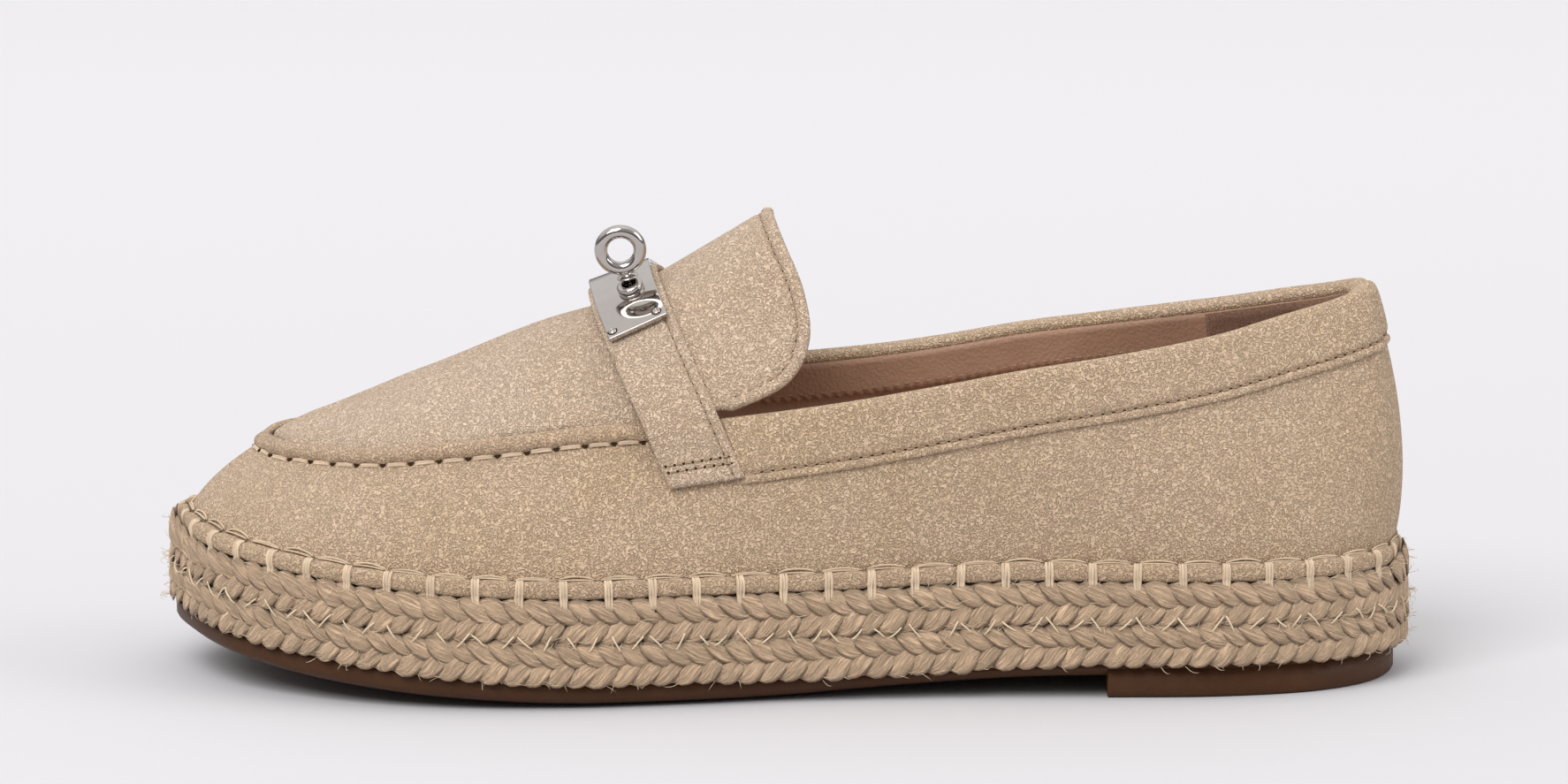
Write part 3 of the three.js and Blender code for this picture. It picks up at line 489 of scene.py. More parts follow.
class Line:
    """A line on the shoe, with its length and the direction that faces away from the shoe."""

    def __init__(self, points, normals):
        self.points = points
        self.normals = normals
        steps = np.linalg.norm(np.diff(points, axis=0), axis=1)
        self.lengths = np.concatenate([[0.0], np.cumsum(steps)])
        self.length = self.lengths[-1]

    def _mix(self, values, s):
        found = [np.interp(s, self.lengths, values[:, k]) for k in range(3)]
        return np.stack(found, -1)

    def at(self, s):
        return self._mix(self.points, s)

    def normal(self, s):
        return unit(self._mix(self.normals, s))

    def along(self, s):
        return unit(self.at(np.asarray(s) + 0.2) - self.at(np.asarray(s) - 0.2))


ROUND = np.linspace(0, 1, 2801)
ROUND_POINTS, ROUND_OUT = edge(ROUND)
SOLE_LINE = Line(ROUND_POINTS, ROUND_OUT)


def place_at(s):
    """The place at a length round the braid's edge."""
    return np.interp(np.mod(s, SOLE_LINE.length), SOLE_LINE.lengths, ROUND)


def rope_end(place):
    """Where the braid stands up before the binding: 1 at the heel's back and at the toe."""
    row = row_of(place)
    return 1 - smoothstep(0.3, 1.1, row) + smoothstep(12.7, 13.6, row)


def beside_sole(s, z, out):
    """A point at a length round the sole, a height, and a distance out from the braid's edge."""
    point, _ = edge(place_at(s), -np.asarray(out, float) + 0 * s)
    point[..., 2] = z
    return point


# Meshes


def finished(name, mesh, finish, body=BODY, replaces=()):
    """Puts a mesh in the scene as a piece of the shoe."""
    mesh.polygons.foreach_set("use_smooth", [True] * len(mesh.polygons))
    mesh.materials.append(finishes()[finish])
    piece = bpy.data.objects.new(name, mesh)
    bpy.context.scene.collection.objects.link(piece)
    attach(piece, body)
    if replaces:
        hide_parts(*replaces)
    return piece


def thicken(piece, millimetres, offset):
    """Gives a sheet its thickness: behind it at an offset of -1, and before it at 1."""
    shell = piece.modifiers.new("thickness", "SOLIDIFY")
    shell.thickness = millimetres * MM
    shell.offset = offset


def to_mesh(bm, name):
    mesh = bpy.data.meshes.new(name)
    bm.to_mesh(mesh)
    bm.free()
    return mesh


def patch(name, points, cap=False, turned=False):
    """A grid of faces laid on points, in columns and rows. Edges that meet are joined."""
    columns, rows = points.shape[0] - 1, points.shape[1] - 1
    bm = bmesh.new()
    bm.loops.layers.uv.new("UVMap")
    bmesh.ops.create_grid(bm, x_segments=columns, y_segments=rows, size=0.5, calc_uvs=True)
    for vert in bm.verts:
        i = round((vert.co.x + 0.5) * columns)
        j = round((vert.co.y + 0.5) * rows)
        vert.co = points[i, j] * MM
    bmesh.ops.remove_doubles(bm, verts=bm.verts, dist=2e-6)
    bmesh.ops.dissolve_degenerate(bm, dist=1e-7, edges=bm.edges)
    if cap:
        bmesh.ops.holes_fill(bm, edges=[e for e in bm.edges if e.is_boundary], sides=0)
        bmesh.ops.recalc_face_normals(bm, faces=bm.faces)
    elif turned:
        bmesh.ops.reverse_faces(bm, faces=bm.faces)
    return to_mesh(bm, name)


def closed(points):
    """Repeats the first point of each ring, so that the ring closes."""
    return np.concatenate([points, points[:, :1]], 1)


def suede_form(name, rings, finish, replaces):
    """A closed form laid on rings, as a piece of suede."""
    mesh = patch(name, closed(np.stack(rings, 1)), cap=True)
    return finished(name, mesh, finish, replaces=[replaces])


def across_shoe(name, side_rings):
    """A closed form from rings that go up the outer side of the shoe and down the inner one."""
    rings = side_rings(-1) + side_rings(1)[::-1]
    return patch(name, closed(np.stack(rings, 1)), cap=True)


def copies(name, count, sides, rings, shape):
    """Many copies of one closed round form. shape(copy, share, x, y) gives the points of all."""
    bm = bmesh.new()
    bm.loops.layers.uv.new("UVMap")
    bmesh.ops.create_uvsphere(bm, u_segments=sides, v_segments=rings, radius=1, calc_uvs=True)
    one = to_mesh(bm, name + "_one")
    co = np.empty(len(one.vertices) * 3, np.float32)
    one.vertices.foreach_get("co", co)
    co = co.reshape(-1, 3).astype(float)
    bm = bmesh.new()
    for _ in range(count):
        bm.from_mesh(one)
    mesh = to_mesh(bm, name)
    bpy.data.meshes.remove(one)
    share = np.arccos(np.clip(co[:, 2], -1, 1)) / math.pi
    flat = np.maximum(np.linalg.norm(co[:, :2], axis=1), 1e-9)
    pole = np.abs(co[:, 2]) > 1 - 1e-6
    x = np.where(pole, 0, co[:, 0] / flat)
    y = np.where(pole, 0, co[:, 1] / flat)
    copy = np.repeat(np.arange(count), len(co))
    tiled = [np.tile(values, count) for values in (share, x, y)]
    points = shape(copy, *tiled) * MM
    mesh.vertices.foreach_set("co", points.astype(np.float32).ravel())
    tone = np.random.default_rng(len(name)).random(count)[copy]
    mesh.attributes.new("tone", "FLOAT", "POINT").data.foreach_set("value", tone.astype(np.float32))
    mesh.update()
    return mesh


def rounded(share, power=2.6):
    """The thickness along a form with rounded ends."""
    return np.clip(1 - np.abs(2 * share - 1) ** power, 0, 1) ** 0.6


def cords(name, paths, normals, radius, sides=6, profile=None):
    """Round threads along paths of equally many points, as one mesh."""
    count, rings = paths.shape[0], paths.shape[1] - 1
    way = np.gradient(paths, axis=1)
    way /= np.maximum(np.linalg.norm(way, axis=-1, keepdims=True), 1e-9)
    normals = np.broadcast_to(normals, paths.shape)
    up = normals - (normals * way).sum(-1, keepdims=True) * way
    up /= np.maximum(np.linalg.norm(up, axis=-1, keepdims=True), 1e-9)
    side = np.cross(way, up)
    thick = rounded(np.linspace(0, 1, rings + 1), 8) if profile is None else profile
    radii = np.broadcast_to(np.asarray(radius, float), (count,))

    def shape(copy, share, x, y):
        ring = np.round(share * rings).astype(int)
        r = (radii[copy] * np.maximum(thick[ring], 0.25))[:, None]
        across = side[copy, ring] * x[:, None] + up[copy, ring] * y[:, None]
        return paths[copy, ring] + across * r

    return copies(name, count, sides, rings, shape)


def threads(name, paths, normals, radius, finish, slot, **form):
    """A piece made of threads, whose paths and normals may come as lists of sets."""
    if isinstance(paths, list):
        paths, normals = np.concatenate(paths), np.concatenate(normals)
    finished(name, cords(name, paths, normals, radius, **form), finish)


def running_stitches(line, start, end, pitch, length, radius, side=0.0, lift=0.0):
    """Paths of stitches along a line, which dip into the leather at both ends."""
    count = max(1, int((end - start - length) / pitch) + 1)
    first = start + np.arange(count) * pitch
    share = np.linspace(0, 1, 8)
    s = first[:, None] + share * length
    normal = line.normal(s)
    across = np.cross(line.along(s), normal)
    rise = radius * (1.6 * np.sin(math.pi * share) ** 0.5 - 0.75) + lift
    paths = line.at(s) + normal * rise[None, :, None] + across * side
    return paths, normal


SIDEWAYS = np.array([0.31, 0.17, 0.93])


def shade_dots(name, points, normals, radius, deep=0.35, slot="suede"):
    """Small dark dots where stitches enter the leather: painted shade in the needle's holes."""
    reach = np.linspace(-deep, 0.08, 5)[None, :, None]
    threads(name, points[:, None] + normals[:, None] * reach, SIDEWAYS, radius, "pit", slot)


def fine_seam(name, line, margin, radius):
    """A row of fine stitches in the suede, with dark dots of painted shade at the holes between them."""
    pitch = size("fine_pitch")
    paths, normals = running_stitches(line, margin, line.length - margin, pitch, pitch - 0.6, radius)
    threads(name + "_stitches", paths, normals, radius, "fine_thread", "suede")
    s = margin - 0.3 + np.arange(len(paths)) * pitch
    shade_dots(name + "_pits", line.at(s), line.normal(s), 0.36, deep=0.3)


# Finishes


def linear(red, green, blue):
    """A screen colour from 0 to 255 as a linear colour."""
    values = [c / 255 for c in (red, green, blue)]
    return [c / 12.92 if c <= 0.04045 else ((c + 0.055) / 1.055) ** 2.4 for c in values] + [1.0]


def shaded(colour, share, lift=0.0):
    """A colour times a share, with some white added."""
    return [min(1.0, c * share + lift) for c in colour[:3]] + [1.0]


def fill(tree, target, **values):
    """Links or sets the inputs of a node. A key is an input's label, or i and its number."""
    for key, value in values.items():
        numbered = key[0] == "i" and key[1:].isdigit()
        socket = target.inputs[int(key[1:]) if numbered else key.replace("_", " ")]
        if isinstance(value, bpy.types.NodeSocket):
            tree.links.new(value, socket)
        else:
            socket.default_value = value


def node(tree, kind, settings=None, **values):
    """Adds a shader node, with its settings and the values of its inputs."""
    made = tree.nodes.new("ShaderNode" + kind)
    for key, value in (settings or {}).items():
        setattr(made, key, value)
    fill(tree, made, **values)
    return made


def mixed(tree, factor, first, second):
    """A mix of two colours."""
    settings = {"data_type": "RGBA", "blend_type": "MIX"}
    return node(tree, "Mix", settings, i0=factor, i6=first, i7=second).outputs[2]


def maths(tree, operation, first, second=0.0, third=0.0):
    return node(tree, "Math", {"operation": operation}, i0=first, i1=second, i2=third).outputs[0]


def times(tree, first, second):
    return maths(tree, "MULTIPLY", first, second)


def ranged(tree, value, low, high, to_low=0.0, to_high=1.0):
    settings = {"interpolation_type": "SMOOTHSTEP"}
    found = node(tree, "MapRange", settings, i0=value, i1=low, i2=high, i3=to_low, i4=to_high)
    return found.outputs[0]


def noise(tree, vector, scale, detail, roughness, distortion=0.0):
    made = node(
        tree, "TexNoise", Vector=vector, Scale=scale, Detail=detail, Roughness=roughness,
        Distortion=distortion,
    )
    return made.outputs["Fac"]


def group(name, outputs, **inputs):
    """An empty shader group that takes a vector and numbers and gives numbers."""
    tree = bpy.data.node_groups.new(name, "ShaderNodeTree")
    new_socket = tree.interface.new_socket
    new_socket(name="Vector", in_out="INPUT", socket_type="NodeSocketVector")
    for label, value in inputs.items():
        socket = new_socket(
            name=label.replace("_", " "), in_out="INPUT", socket_type="NodeSocketFloat",
        )
        socket.default_value = value
    for label in outputs:
        new_socket(name=label, in_out="OUTPUT", socket_type="NodeSocketFloat")
    return tree, tree.nodes.new("NodeGroupInput").outputs, tree.nodes.new("NodeGroupOutput")


def use(tree, made, **values):
    """Places a shader group in a material."""
    placed = tree.nodes.new("ShaderNodeGroup")
    placed.node_tree = made
    fill(tree, placed, **values)
    return placed.outputs


def nap_group():
    """Short curled nap: bent lines of painted highlight, with painted shade between them, and large soft
    patches.
    """
    tree, given, out = group(
        "curled_nap", ["Curl", "Speck", "Shade", "Patch"], Curl_Size=900.0, Patch_Size=22.0,
    )
    where, curl_size = given["Vector"], given["Curl Size"]
    bends = noise(tree, where, curl_size, 1.0, 0.5, 0.3)
    speck = noise(tree, where, times(tree, curl_size, 3.0), 1.0, 0.6)
    wave = maths(tree, "SINE", times(tree, bends, 32.0))
    rough = times(tree, maths(tree, "SUBTRACT", speck, 0.5), 2.4)
    wave = maths(tree, "MULTIPLY_ADD", wave, 0.55, rough)
    patches = noise(tree, where, given["Patch Size"], 3.0, 0.55, 0.4)
    fill(
        tree, out, Speck=speck, Curl=ranged(tree, wave, -0.1, 0.9),
        Shade=ranged(tree, wave, -0.9, 0.1, 1.0, 0.0), Patch=ranged(tree, patches, 0.35, 0.65),
    )
    return tree


def fibre_group():
    """Fibres that run along a strand, from the strand's own map."""
    tree, given, out = group("fibres", ["Fibre", "Strand"], Round=20.0, Offset=0.0)
    parts = node(tree, "SeparateXYZ", i0=given["Vector"]).outputs
    slanted = maths(tree, "ADD", parts[0], times(tree, parts[1], 0.12))
    place = node(
        tree, "CombineXYZ", i0=times(tree, slanted, given["Round"]), i1=times(tree, parts[1], 0.7),
        i2=times(tree, given["Offset"], 37.0),
    ).outputs[0]
    fine = noise(tree, place, 2.2, 3.0, 0.65)
    broad = noise(tree, place, 0.45, 1.0, 0.5)
    fill(tree, out, Fibre=ranged(tree, fine, 0.3, 0.7), Strand=ranged(tree, broad, 0.35, 0.65))
    return tree


def grain_group():
    """Fine pebbled grain with small scuffs."""
    tree, given, out = group("fine_grain", ["Grain", "Scuff"], Grain_Size=1500.0, Scuff_Size=60.0)
    cells = node(
        tree, "TexVoronoi", {"feature": "SMOOTH_F1"}, Vector=given["Vector"],
        Scale=given["Grain Size"], Smoothness=0.6,
    ).outputs["Distance"]
    scuffs = noise(tree, given["Vector"], given["Scuff Size"], 4.0, 0.7)
    fill(tree, out, Grain=ranged(tree, cells, 0.1, 0.75), Scuff=ranged(tree, scuffs, 0.4, 0.75))
    return tree


def blank(name, **plain):
    """A material with one plain shader, and its tree, shader and coordinates."""
    made = bpy.data.materials.new(name)
    made.use_nodes = True
    tree = made.node_tree
    shader = tree.nodes["Principled BSDF"]
    fill(tree, shader, **plain)
    return made, tree, shader, node(tree, "TexCoord").outputs


def bump(tree, height, distance):
    return node(tree, "Bump", Height=height, Distance=distance, Strength=1.0).outputs["Normal"]


def suede_finish(name, shared, colour, warm, curl=900.0, relief=0.0002):
    made, tree, shader, where = blank(
        name, Roughness=0.93, Sheen_Weight=0.22, Sheen_Roughness=0.45,
        Sheen_Tint=(1.0, 0.93, 0.85, 1.0), Specular_IOR_Level=0.15,
    )
    nap = use(tree, shared["nap"], Vector=where["Object"], Curl_Size=curl)
    # The curls are painted lighter and the hollows between them darker: painted highlight and painted
    # shade of the nap, on top of its bump.
    dark = [c * k for c, k in zip(colour, (0.5, 0.44, 0.38))] + [1.0]
    base = mixed(tree, nap["Patch"], colour, warm)
    base = mixed(tree, times(tree, nap["Shade"], 0.8), base, dark)
    base = mixed(tree, times(tree, nap["Curl"], 0.8), base, shaded(colour, 1.22, 0.03))
    height = maths(tree, "SUBTRACT", nap["Curl"], nap["Shade"])
    fill(tree, shader, Base_Color=base, Normal=bump(tree, height, relief))
    return made


def jute_finish(name, shared, colour, shade, depth=0.0004, round_way=20.0):
    made, tree, shader, where = blank(
        name, Roughness=0.85, Sheen_Weight=0.1, Sheen_Roughness=0.5, Specular_IOR_Level=0.25,
    )
    tone = node(tree, "Attribute", {"attribute_name": "tone"}).outputs["Fac"]
    fibre = use(tree, shared["fibre"], Vector=where["UV"], Round=round_way, Offset=tone)
    dark = shaded(colour, shade)
    base = mixed(tree, fibre["Fibre"], dark, shaded(colour, 1.25))
    base = mixed(tree, times(tree, tone, 0.35), base, colour)
    base = mixed(tree, times(tree, fibre["Strand"], 0.3), base, dark)
    height = maths(tree, "ADD", fibre["Fibre"], times(tree, fibre["Strand"], 1.2))
    fill(tree, shader, Base_Color=base, Normal=bump(tree, height, depth))
    return made


def leather_finish(name, shared, colour, grain=1400.0, roughness=0.5):
    made, tree, shader, where = blank(name, Roughness=roughness, Specular_IOR_Level=0.35)
    found = use(tree, shared["grain"], Vector=where["Object"], Grain_Size=grain)
    nap = use(tree, shared["nap"], Vector=where["Object"], Patch_Size=35.0)
    dark = shaded(colour, 0.8)
    base = mixed(tree, nap["Patch"], colour, dark)
    base = mixed(tree, times(tree, found["Grain"], 0.25), base, dark)
    rough = ranged(tree, found["Scuff"], 0.0, 1.0, roughness - 0.05, roughness + 0.15)
    normal = bump(tree, found["Grain"], 0.00006)
    fill(tree, shader, Base_Color=base, Roughness=rough, Normal=normal)
    return made


def rubber_finish(name, shared, colour):
    made, tree, shader, where = blank(name, Roughness=0.46, Specular_IOR_Level=0.22)
    found = use(tree, shared["grain"], Vector=where["Object"], Grain_Size=2600.0, Scuff_Size=90.0)
    nap = use(tree, shared["nap"], Vector=where["Object"], Patch_Size=30.0)
    worn = shaded(colour, 1.5, 0.01)
    base = mixed(tree, times(tree, found["Scuff"], 0.35), colour, worn)
    base = mixed(tree, times(tree, nap["Speck"], 0.12), base, worn)
    rough = ranged(tree, found["Scuff"], 0.0, 1.0, 0.42, 0.6)
    normal = bump(tree, found["Grain"], 0.00004)
    fill(tree, shader, Base_Color=base, Roughness=rough, Normal=normal)
    return made


def metal_finish(name, shared, colour, roughness):
    made, tree, shader, where = blank(name, Roughness=roughness, Metallic=1.0)
    found = use(tree, shared["grain"], Vector=where["Object"], Grain_Size=5000.0, Scuff_Size=300.0)
    base = mixed(tree, times(tree, found["Scuff"], 0.5), colour, shaded(colour, 0.9))
    rough = ranged(tree, found["Scuff"], 0.0, 1.0, roughness, roughness + 0.05)
    fill(tree, shader, Base_Color=base, Roughness=rough)
    return made


# Dark colour for painted shade inside needle holes and round the screw heads.
def hole_shade_finish(name, shared, colour):
    made, tree, shader, where = blank(name, Roughness=1.0, Specular_IOR_Level=0.0)
    found = use(tree, shared["grain"], Vector=where["Object"])
    fill(tree, shader, Base_Color=mixed(tree, found["Scuff"], colour, shaded(colour, 0.6)))
    return made


FINISHES = {}


def finishes():
    """Makes the finishes once, from the colours in the panel."""
    if FINISHES:
        return FINISHES
    tones = bpy.context.scene.espadrille_colours
    tone = {name: list(getattr(tones, name)) + [1.0] for name in tones.__annotations__}
    nap, fibre, grain = nap_group(), fibre_group(), grain_group()
    shared = {"nap": nap, "fibre": fibre, "grain": grain}
    FINISHES.update(
        suede=suede_finish("suede", shared, tone["suede"], tone["suede_warm"]),
        # The apron, strap and tongue get a paler copy of the suede: painted light on the pieces that
        # face up.
        pale_suede=suede_finish("pale_suede", shared, tone["pale_suede"], tone["suede"]),
        roll_suede=suede_finish("roll_suede", shared, tone["roll"], tone["suede_warm"]),
        # A dark copy of the roll suede: painted shade for the groove above the seam roll.
        crease=suede_finish("crease_suede", shared, shaded(tone["roll"], 0.5), tone["pit"]),
        jute=jute_finish("jute", shared, tone["jute"], 0.56, 0.0004, 12.0),
        # The core's jute at 0.72 of the strands' colour: painted shade behind the strands.
        jute_core=jute_finish("jute_core", shared, shaded(tone["jute"], 0.72), 0.6),
        hair=jute_finish("jute_hair", shared, tone["hair"], 0.85, 0.00002, 3.0),
        thread=jute_finish("cream_thread", shared, tone["thread"], 0.72, 0.0001, 4.0),
        fine_thread=jute_finish("tan_thread", shared, tone["fine_thread"], 0.7, 0.00008, 4.0),
        lining=leather_finish("lining_leather", shared, tone["lining"]),
        sock=leather_finish("sock_leather", shared, tone["sock"], 1100.0, 0.55),
        # The grip's dark colour is partly the suede's own and partly painted shade inside the heel.
        grip=suede_finish(
            "heel_grip_suede", shared, tone["grip"], tone["lining"], 1500.0, 0.00006,
        ),
        rubber=rubber_finish("brown_rubber", shared, tone["rubber"]),
        metal=metal_finish("polished_nickel", shared, tone["metal"], 0.04),
        pit=hole_shade_finish("stitch_pit", shared, tone["pit"]),
    )
    return FINISHES


# Settings


def colour_setting(name, description, shade):
    return bpy.props.FloatVectorProperty(
        name=name, description=description, subtype="COLOR", size=3, min=0, max=1,
        default=linear(*shade)[:3],
    )


def size_setting(name, description, millimetres):
    return bpy.props.FloatProperty(
        name=name, description=description, unit="LENGTH", default=millimetres * MM, min=0,
    )


class EspadrilleColours(bpy.types.PropertyGroup):
    """Colours of the shoe's finishes"""

    suede: colour_setting("Suede", "Suede of the wall, in its pinkish patches", (214, 187, 158))
    suede_warm: colour_setting("Warm suede", "Suede of the wall, in its tan patches", (208, 180, 146))
    # A paler copy of the suede for the pieces that face up: painted light.
    pale_suede: colour_setting("Pale suede", "Suede of the apron, strap and tongue", (219, 195, 171))
    roll: colour_setting("Seam roll", "Suede of the raised seam and the sole binding", (206, 178, 149))
    jute: colour_setting("Jute", "Braided jute of the midsole", (216, 185, 153))
    hair: colour_setting("Jute hair", "Loose fibres of the jute", (228, 209, 180))
    thread: colour_setting("Thread", "Thick cream thread", (232, 208, 178))
    fine_thread: colour_setting("Fine thread", "Thin tan thread", (188, 160, 132))
    lining: colour_setting("Lining", "Leather of the vamp's lining and the facing", (184, 146, 121))
    sock: colour_setting("Sock", "Leather of the insole and the wall's lining", (208, 176, 154))
    # Dark suede, painted darker still: partly painted shade for the inside of the heel.
    grip: colour_setting("Heel grip", "Suede lining at the heel", (140, 108, 90))
    rubber: colour_setting("Rubber", "Outsole and heel", (73, 44, 22))
    metal: colour_setting("Metal", "Metal of the turn lock", (188, 182, 177))
    pit: colour_setting("Stitch pit", "Shade inside the needle's holes", (70, 48, 32))


class EspadrilleSizes(bpy.types.PropertyGroup):
    """Sizes of the shoe's details"""

    whip_pitch: size_setting("Whip stitch spacing", "Between two stitches over the sole binding", 9.2)
    whip_width: size_setting("Whip stitch width", "Width of one stitch over the binding", 1.75)
    apron_pitch: size_setting("Apron stitch spacing", "Between two stitches under the seam roll", 6.0)
    fine_pitch: size_setting("Fine stitch spacing", "Between two stitches of the suede's edges", 2.3)
    strand_pitch: size_setting("Strand spacing", "Between two strands of the braid", 4.45)
    strand_width: size_setting("Strand width", "Width of one strand of the braid", 3.7)


def size(name):
    return getattr(bpy.context.scene.espadrille_sizes, name) / MM


# Pieces


class PieceOperator(bpy.types.Operator):
    """Makes one piece or a group of like pieces"""

    bl_options = {"REGISTER", "UNDO"}


class SHOE_OT_camera(PieceOperator):
    """Places the camera at the photograph's angle"""

    bl_idname = "shoe.camera"
    bl_label = "Camera"

    def execute(self, context):
        lens = bpy.data.cameras.new("photo_camera")
        lens.lens = 197.0
        lens.sensor_width = 36.0
        lens.clip_start = 0.05
        lens.clip_end = 60.0
        camera = bpy.data.objects.new("photo_camera", lens)
        elevation = math.radians(10.0)
        back = Vector((0, -math.cos(elevation), math.sin(elevation)))
        target, distance = Vector((-0.096, 0, 0.0586)), 1.8
        camera.location = target + back * distance
        camera.rotation_mode = "QUATERNION"
        camera.rotation_quaternion = (-back).to_track_quat("-Z", "Y")
        context.scene.collection.objects.link(camera)
        context.scene.camera = camera
        return {"FINISHED"}


class SHOE_OT_upper(PieceOperator):
    """Suede wall and apron of the upper, with their soft creases"""

    bl_idname = "shoe.upper"
    bl_label = "Upper"

    def execute(self, context):
        place = np.linspace(0, 1, 421)[:, None]
        up = line_up(place) * np.linspace(0, 1, 49)
        wall = on_last(place, up, dents(on_last(place, up)))
        wall[:, 0, 2] = sole_top(wall[:, 0, 0]) + CLEARANCE
        self.skin("suede_wall", wall, "suede")
        start = THROAT_ROW / (2 * TOE_ROW)
        place = np.linspace(start, 1 - start, 301)[:, None]
        line = line_up(place)
        share = np.linspace(0, 1, 57) ** 1.6
        up = line + (1 - line) * share
        base = on_last(place, up)
        row = row_of(place)
        puff = 0.55 * smoothstep(0.08, 0.3, share) * (1 - smoothstep(0.75, 1.0, share))
        puff = puff * smoothstep(8.2, 9.4, row)
        from_seam = np.linalg.norm(base - base[:, :1], axis=-1)
        groove = -0.5 * np.exp(-(((from_seam - SHOE_OT_seam_roll.HALF_WIDTH - 0.35) / 0.6) ** 2))
        apron = on_last(place, up, dents(base) + puff + groove * smoothstep(6.9, 7.4, row))
        apron[150:, -1] = apron[:151, -1][::-1]
        self.skin("suede_apron", apron, "pale_suede")
        return {"FINISHED"}

    @staticmethod
    def skin(name, points, finish):
        mesh = patch(name, points, turned=True)
        thicken(finished(name, mesh, finish, replaces=["upper"]), 1.1, -1.0)


class SHOE_OT_lining(PieceOperator):
    """Leather lining, facing, heel grip and sock inside the shoe"""

    bl_idname = "shoe.lining"
    bl_label = "Lining"

    def execute(self, context):
        place = np.linspace(0, 1, 281)[:, None]
        up = line_up(place) * np.linspace(0, 1, 33)
        wall = on_last(place, up, -WALL_THICKNESS)
        wall[:, 0, 2] = sole_top(wall[:, 0, 0]) + CLEARANCE
        finished("lining_wall", patch("lining_wall", wall), "sock", replaces=["upper"])
        start = THROAT_ROW / (2 * TOE_ROW)
        place = np.linspace(start, 1 - start, 201)[:, None]
        line = line_up(place)
        up = line + (1 - line) * np.linspace(0, 1, 25)
        top = on_last(place, up, -WALL_THICKNESS)
        top[100:, -1] = top[:101, -1][::-1]
        finished("lining_vamp", patch("lining_vamp", top), "lining", replaces=["upper"])
        self.facing()
        self.heel_grip()
        self.sock()
        return {"FINISHED"}

    @staticmethod
    def facing():
        """A strip round the collar whose lower edge is pinked."""
        first = (THROAT_ROW - 0.2) / (2 * TOE_ROW)
        place = np.mod(np.linspace(-first, first, 1201), 1.0)
        cut = 0.55 * np.abs(np.arange(1201) % 6 - 3) / 3
        columns = [
            below_collar(place, 0.4 + (7.5 + cut * 1.4) * share, -WALL_THICKNESS - 0.6)
            for share in np.linspace(0, 1, 7)
        ]
        mesh = patch("collar_facing", np.stack(columns, 1), turned=True)
        thicken(finished("collar_facing", mesh, "lining"), 0.8, 1.0)
        line = Line(
            below_collar(place, 7.1 + 0 * place, -WALL_THICKNESS - 1.2),
            -last_normal(place, collar_up(place)),
        )
        paths, normals = running_stitches(line, 2, line.length - 2, *LINING_STITCH)
        threads("facing_stitches", paths, normals, LINING_STITCH[2], "fine_thread", "lining")

    @staticmethod
    def heel_grip():
        """The panel inside the heel that keeps the foot from slipping."""
        first = place_of(2.85, -1)
        place = np.mod(np.linspace(-first, first, 121), 1.0)
        tall = collar_rise(place) - 0.5 - INSOLE_THICKNESS - 1.0
        columns = [
            below_collar(place, 0.5 + tall * share, -WALL_THICKNESS - 1.0)
            for share in np.linspace(0, 1, 25)
        ]
        mesh = patch("heel_grip", np.stack(columns, 1), turned=True)
        thicken(finished("heel_grip", mesh, "grip"), 0.5, 1.0)
        down = np.linspace(5, 32, 60)
        paths, normals = [], []
        for side in (-1, 1):
            where = place_of(2.74, side) + 0 * down
            points = below_collar(where, down, -WALL_THICKNESS - 1.55)
            line = Line(points, -last_normal(where, 0.4 + 0 * where))
            found, facing = running_stitches(line, 0.5, line.length, *LINING_STITCH)
            paths.append(found)
            normals.append(facing)
        threads("grip_stitches", paths, normals, LINING_STITCH[2], "fine_thread", "lining")

    @staticmethod
    def sock():
        """The padded insole with its rounded edge."""
        row = np.linspace(0, TOE_ROW, 141)[:, None]

        def side_rings(side):
            place = place_of(row, side)
            points = []
            for rise, tuck in ((0.35, 0.0), (1.6, 0.0), (2.3, 0.15), (2.55, 0.5), (2.75, 1.4)):
                point = on_last(place, up_at_rise(place, rise), -WALL_THICKNESS - 0.5 - tuck)
                if rise < 1:
                    point[..., 2] = sole_top(point[..., 0]) + CLEARANCE
                points.append(point[:, 0])
            return points

        mesh = across_shoe("insole_sock", side_rings)
        finished("insole_sock", mesh, "sock", replaces=["insole"])


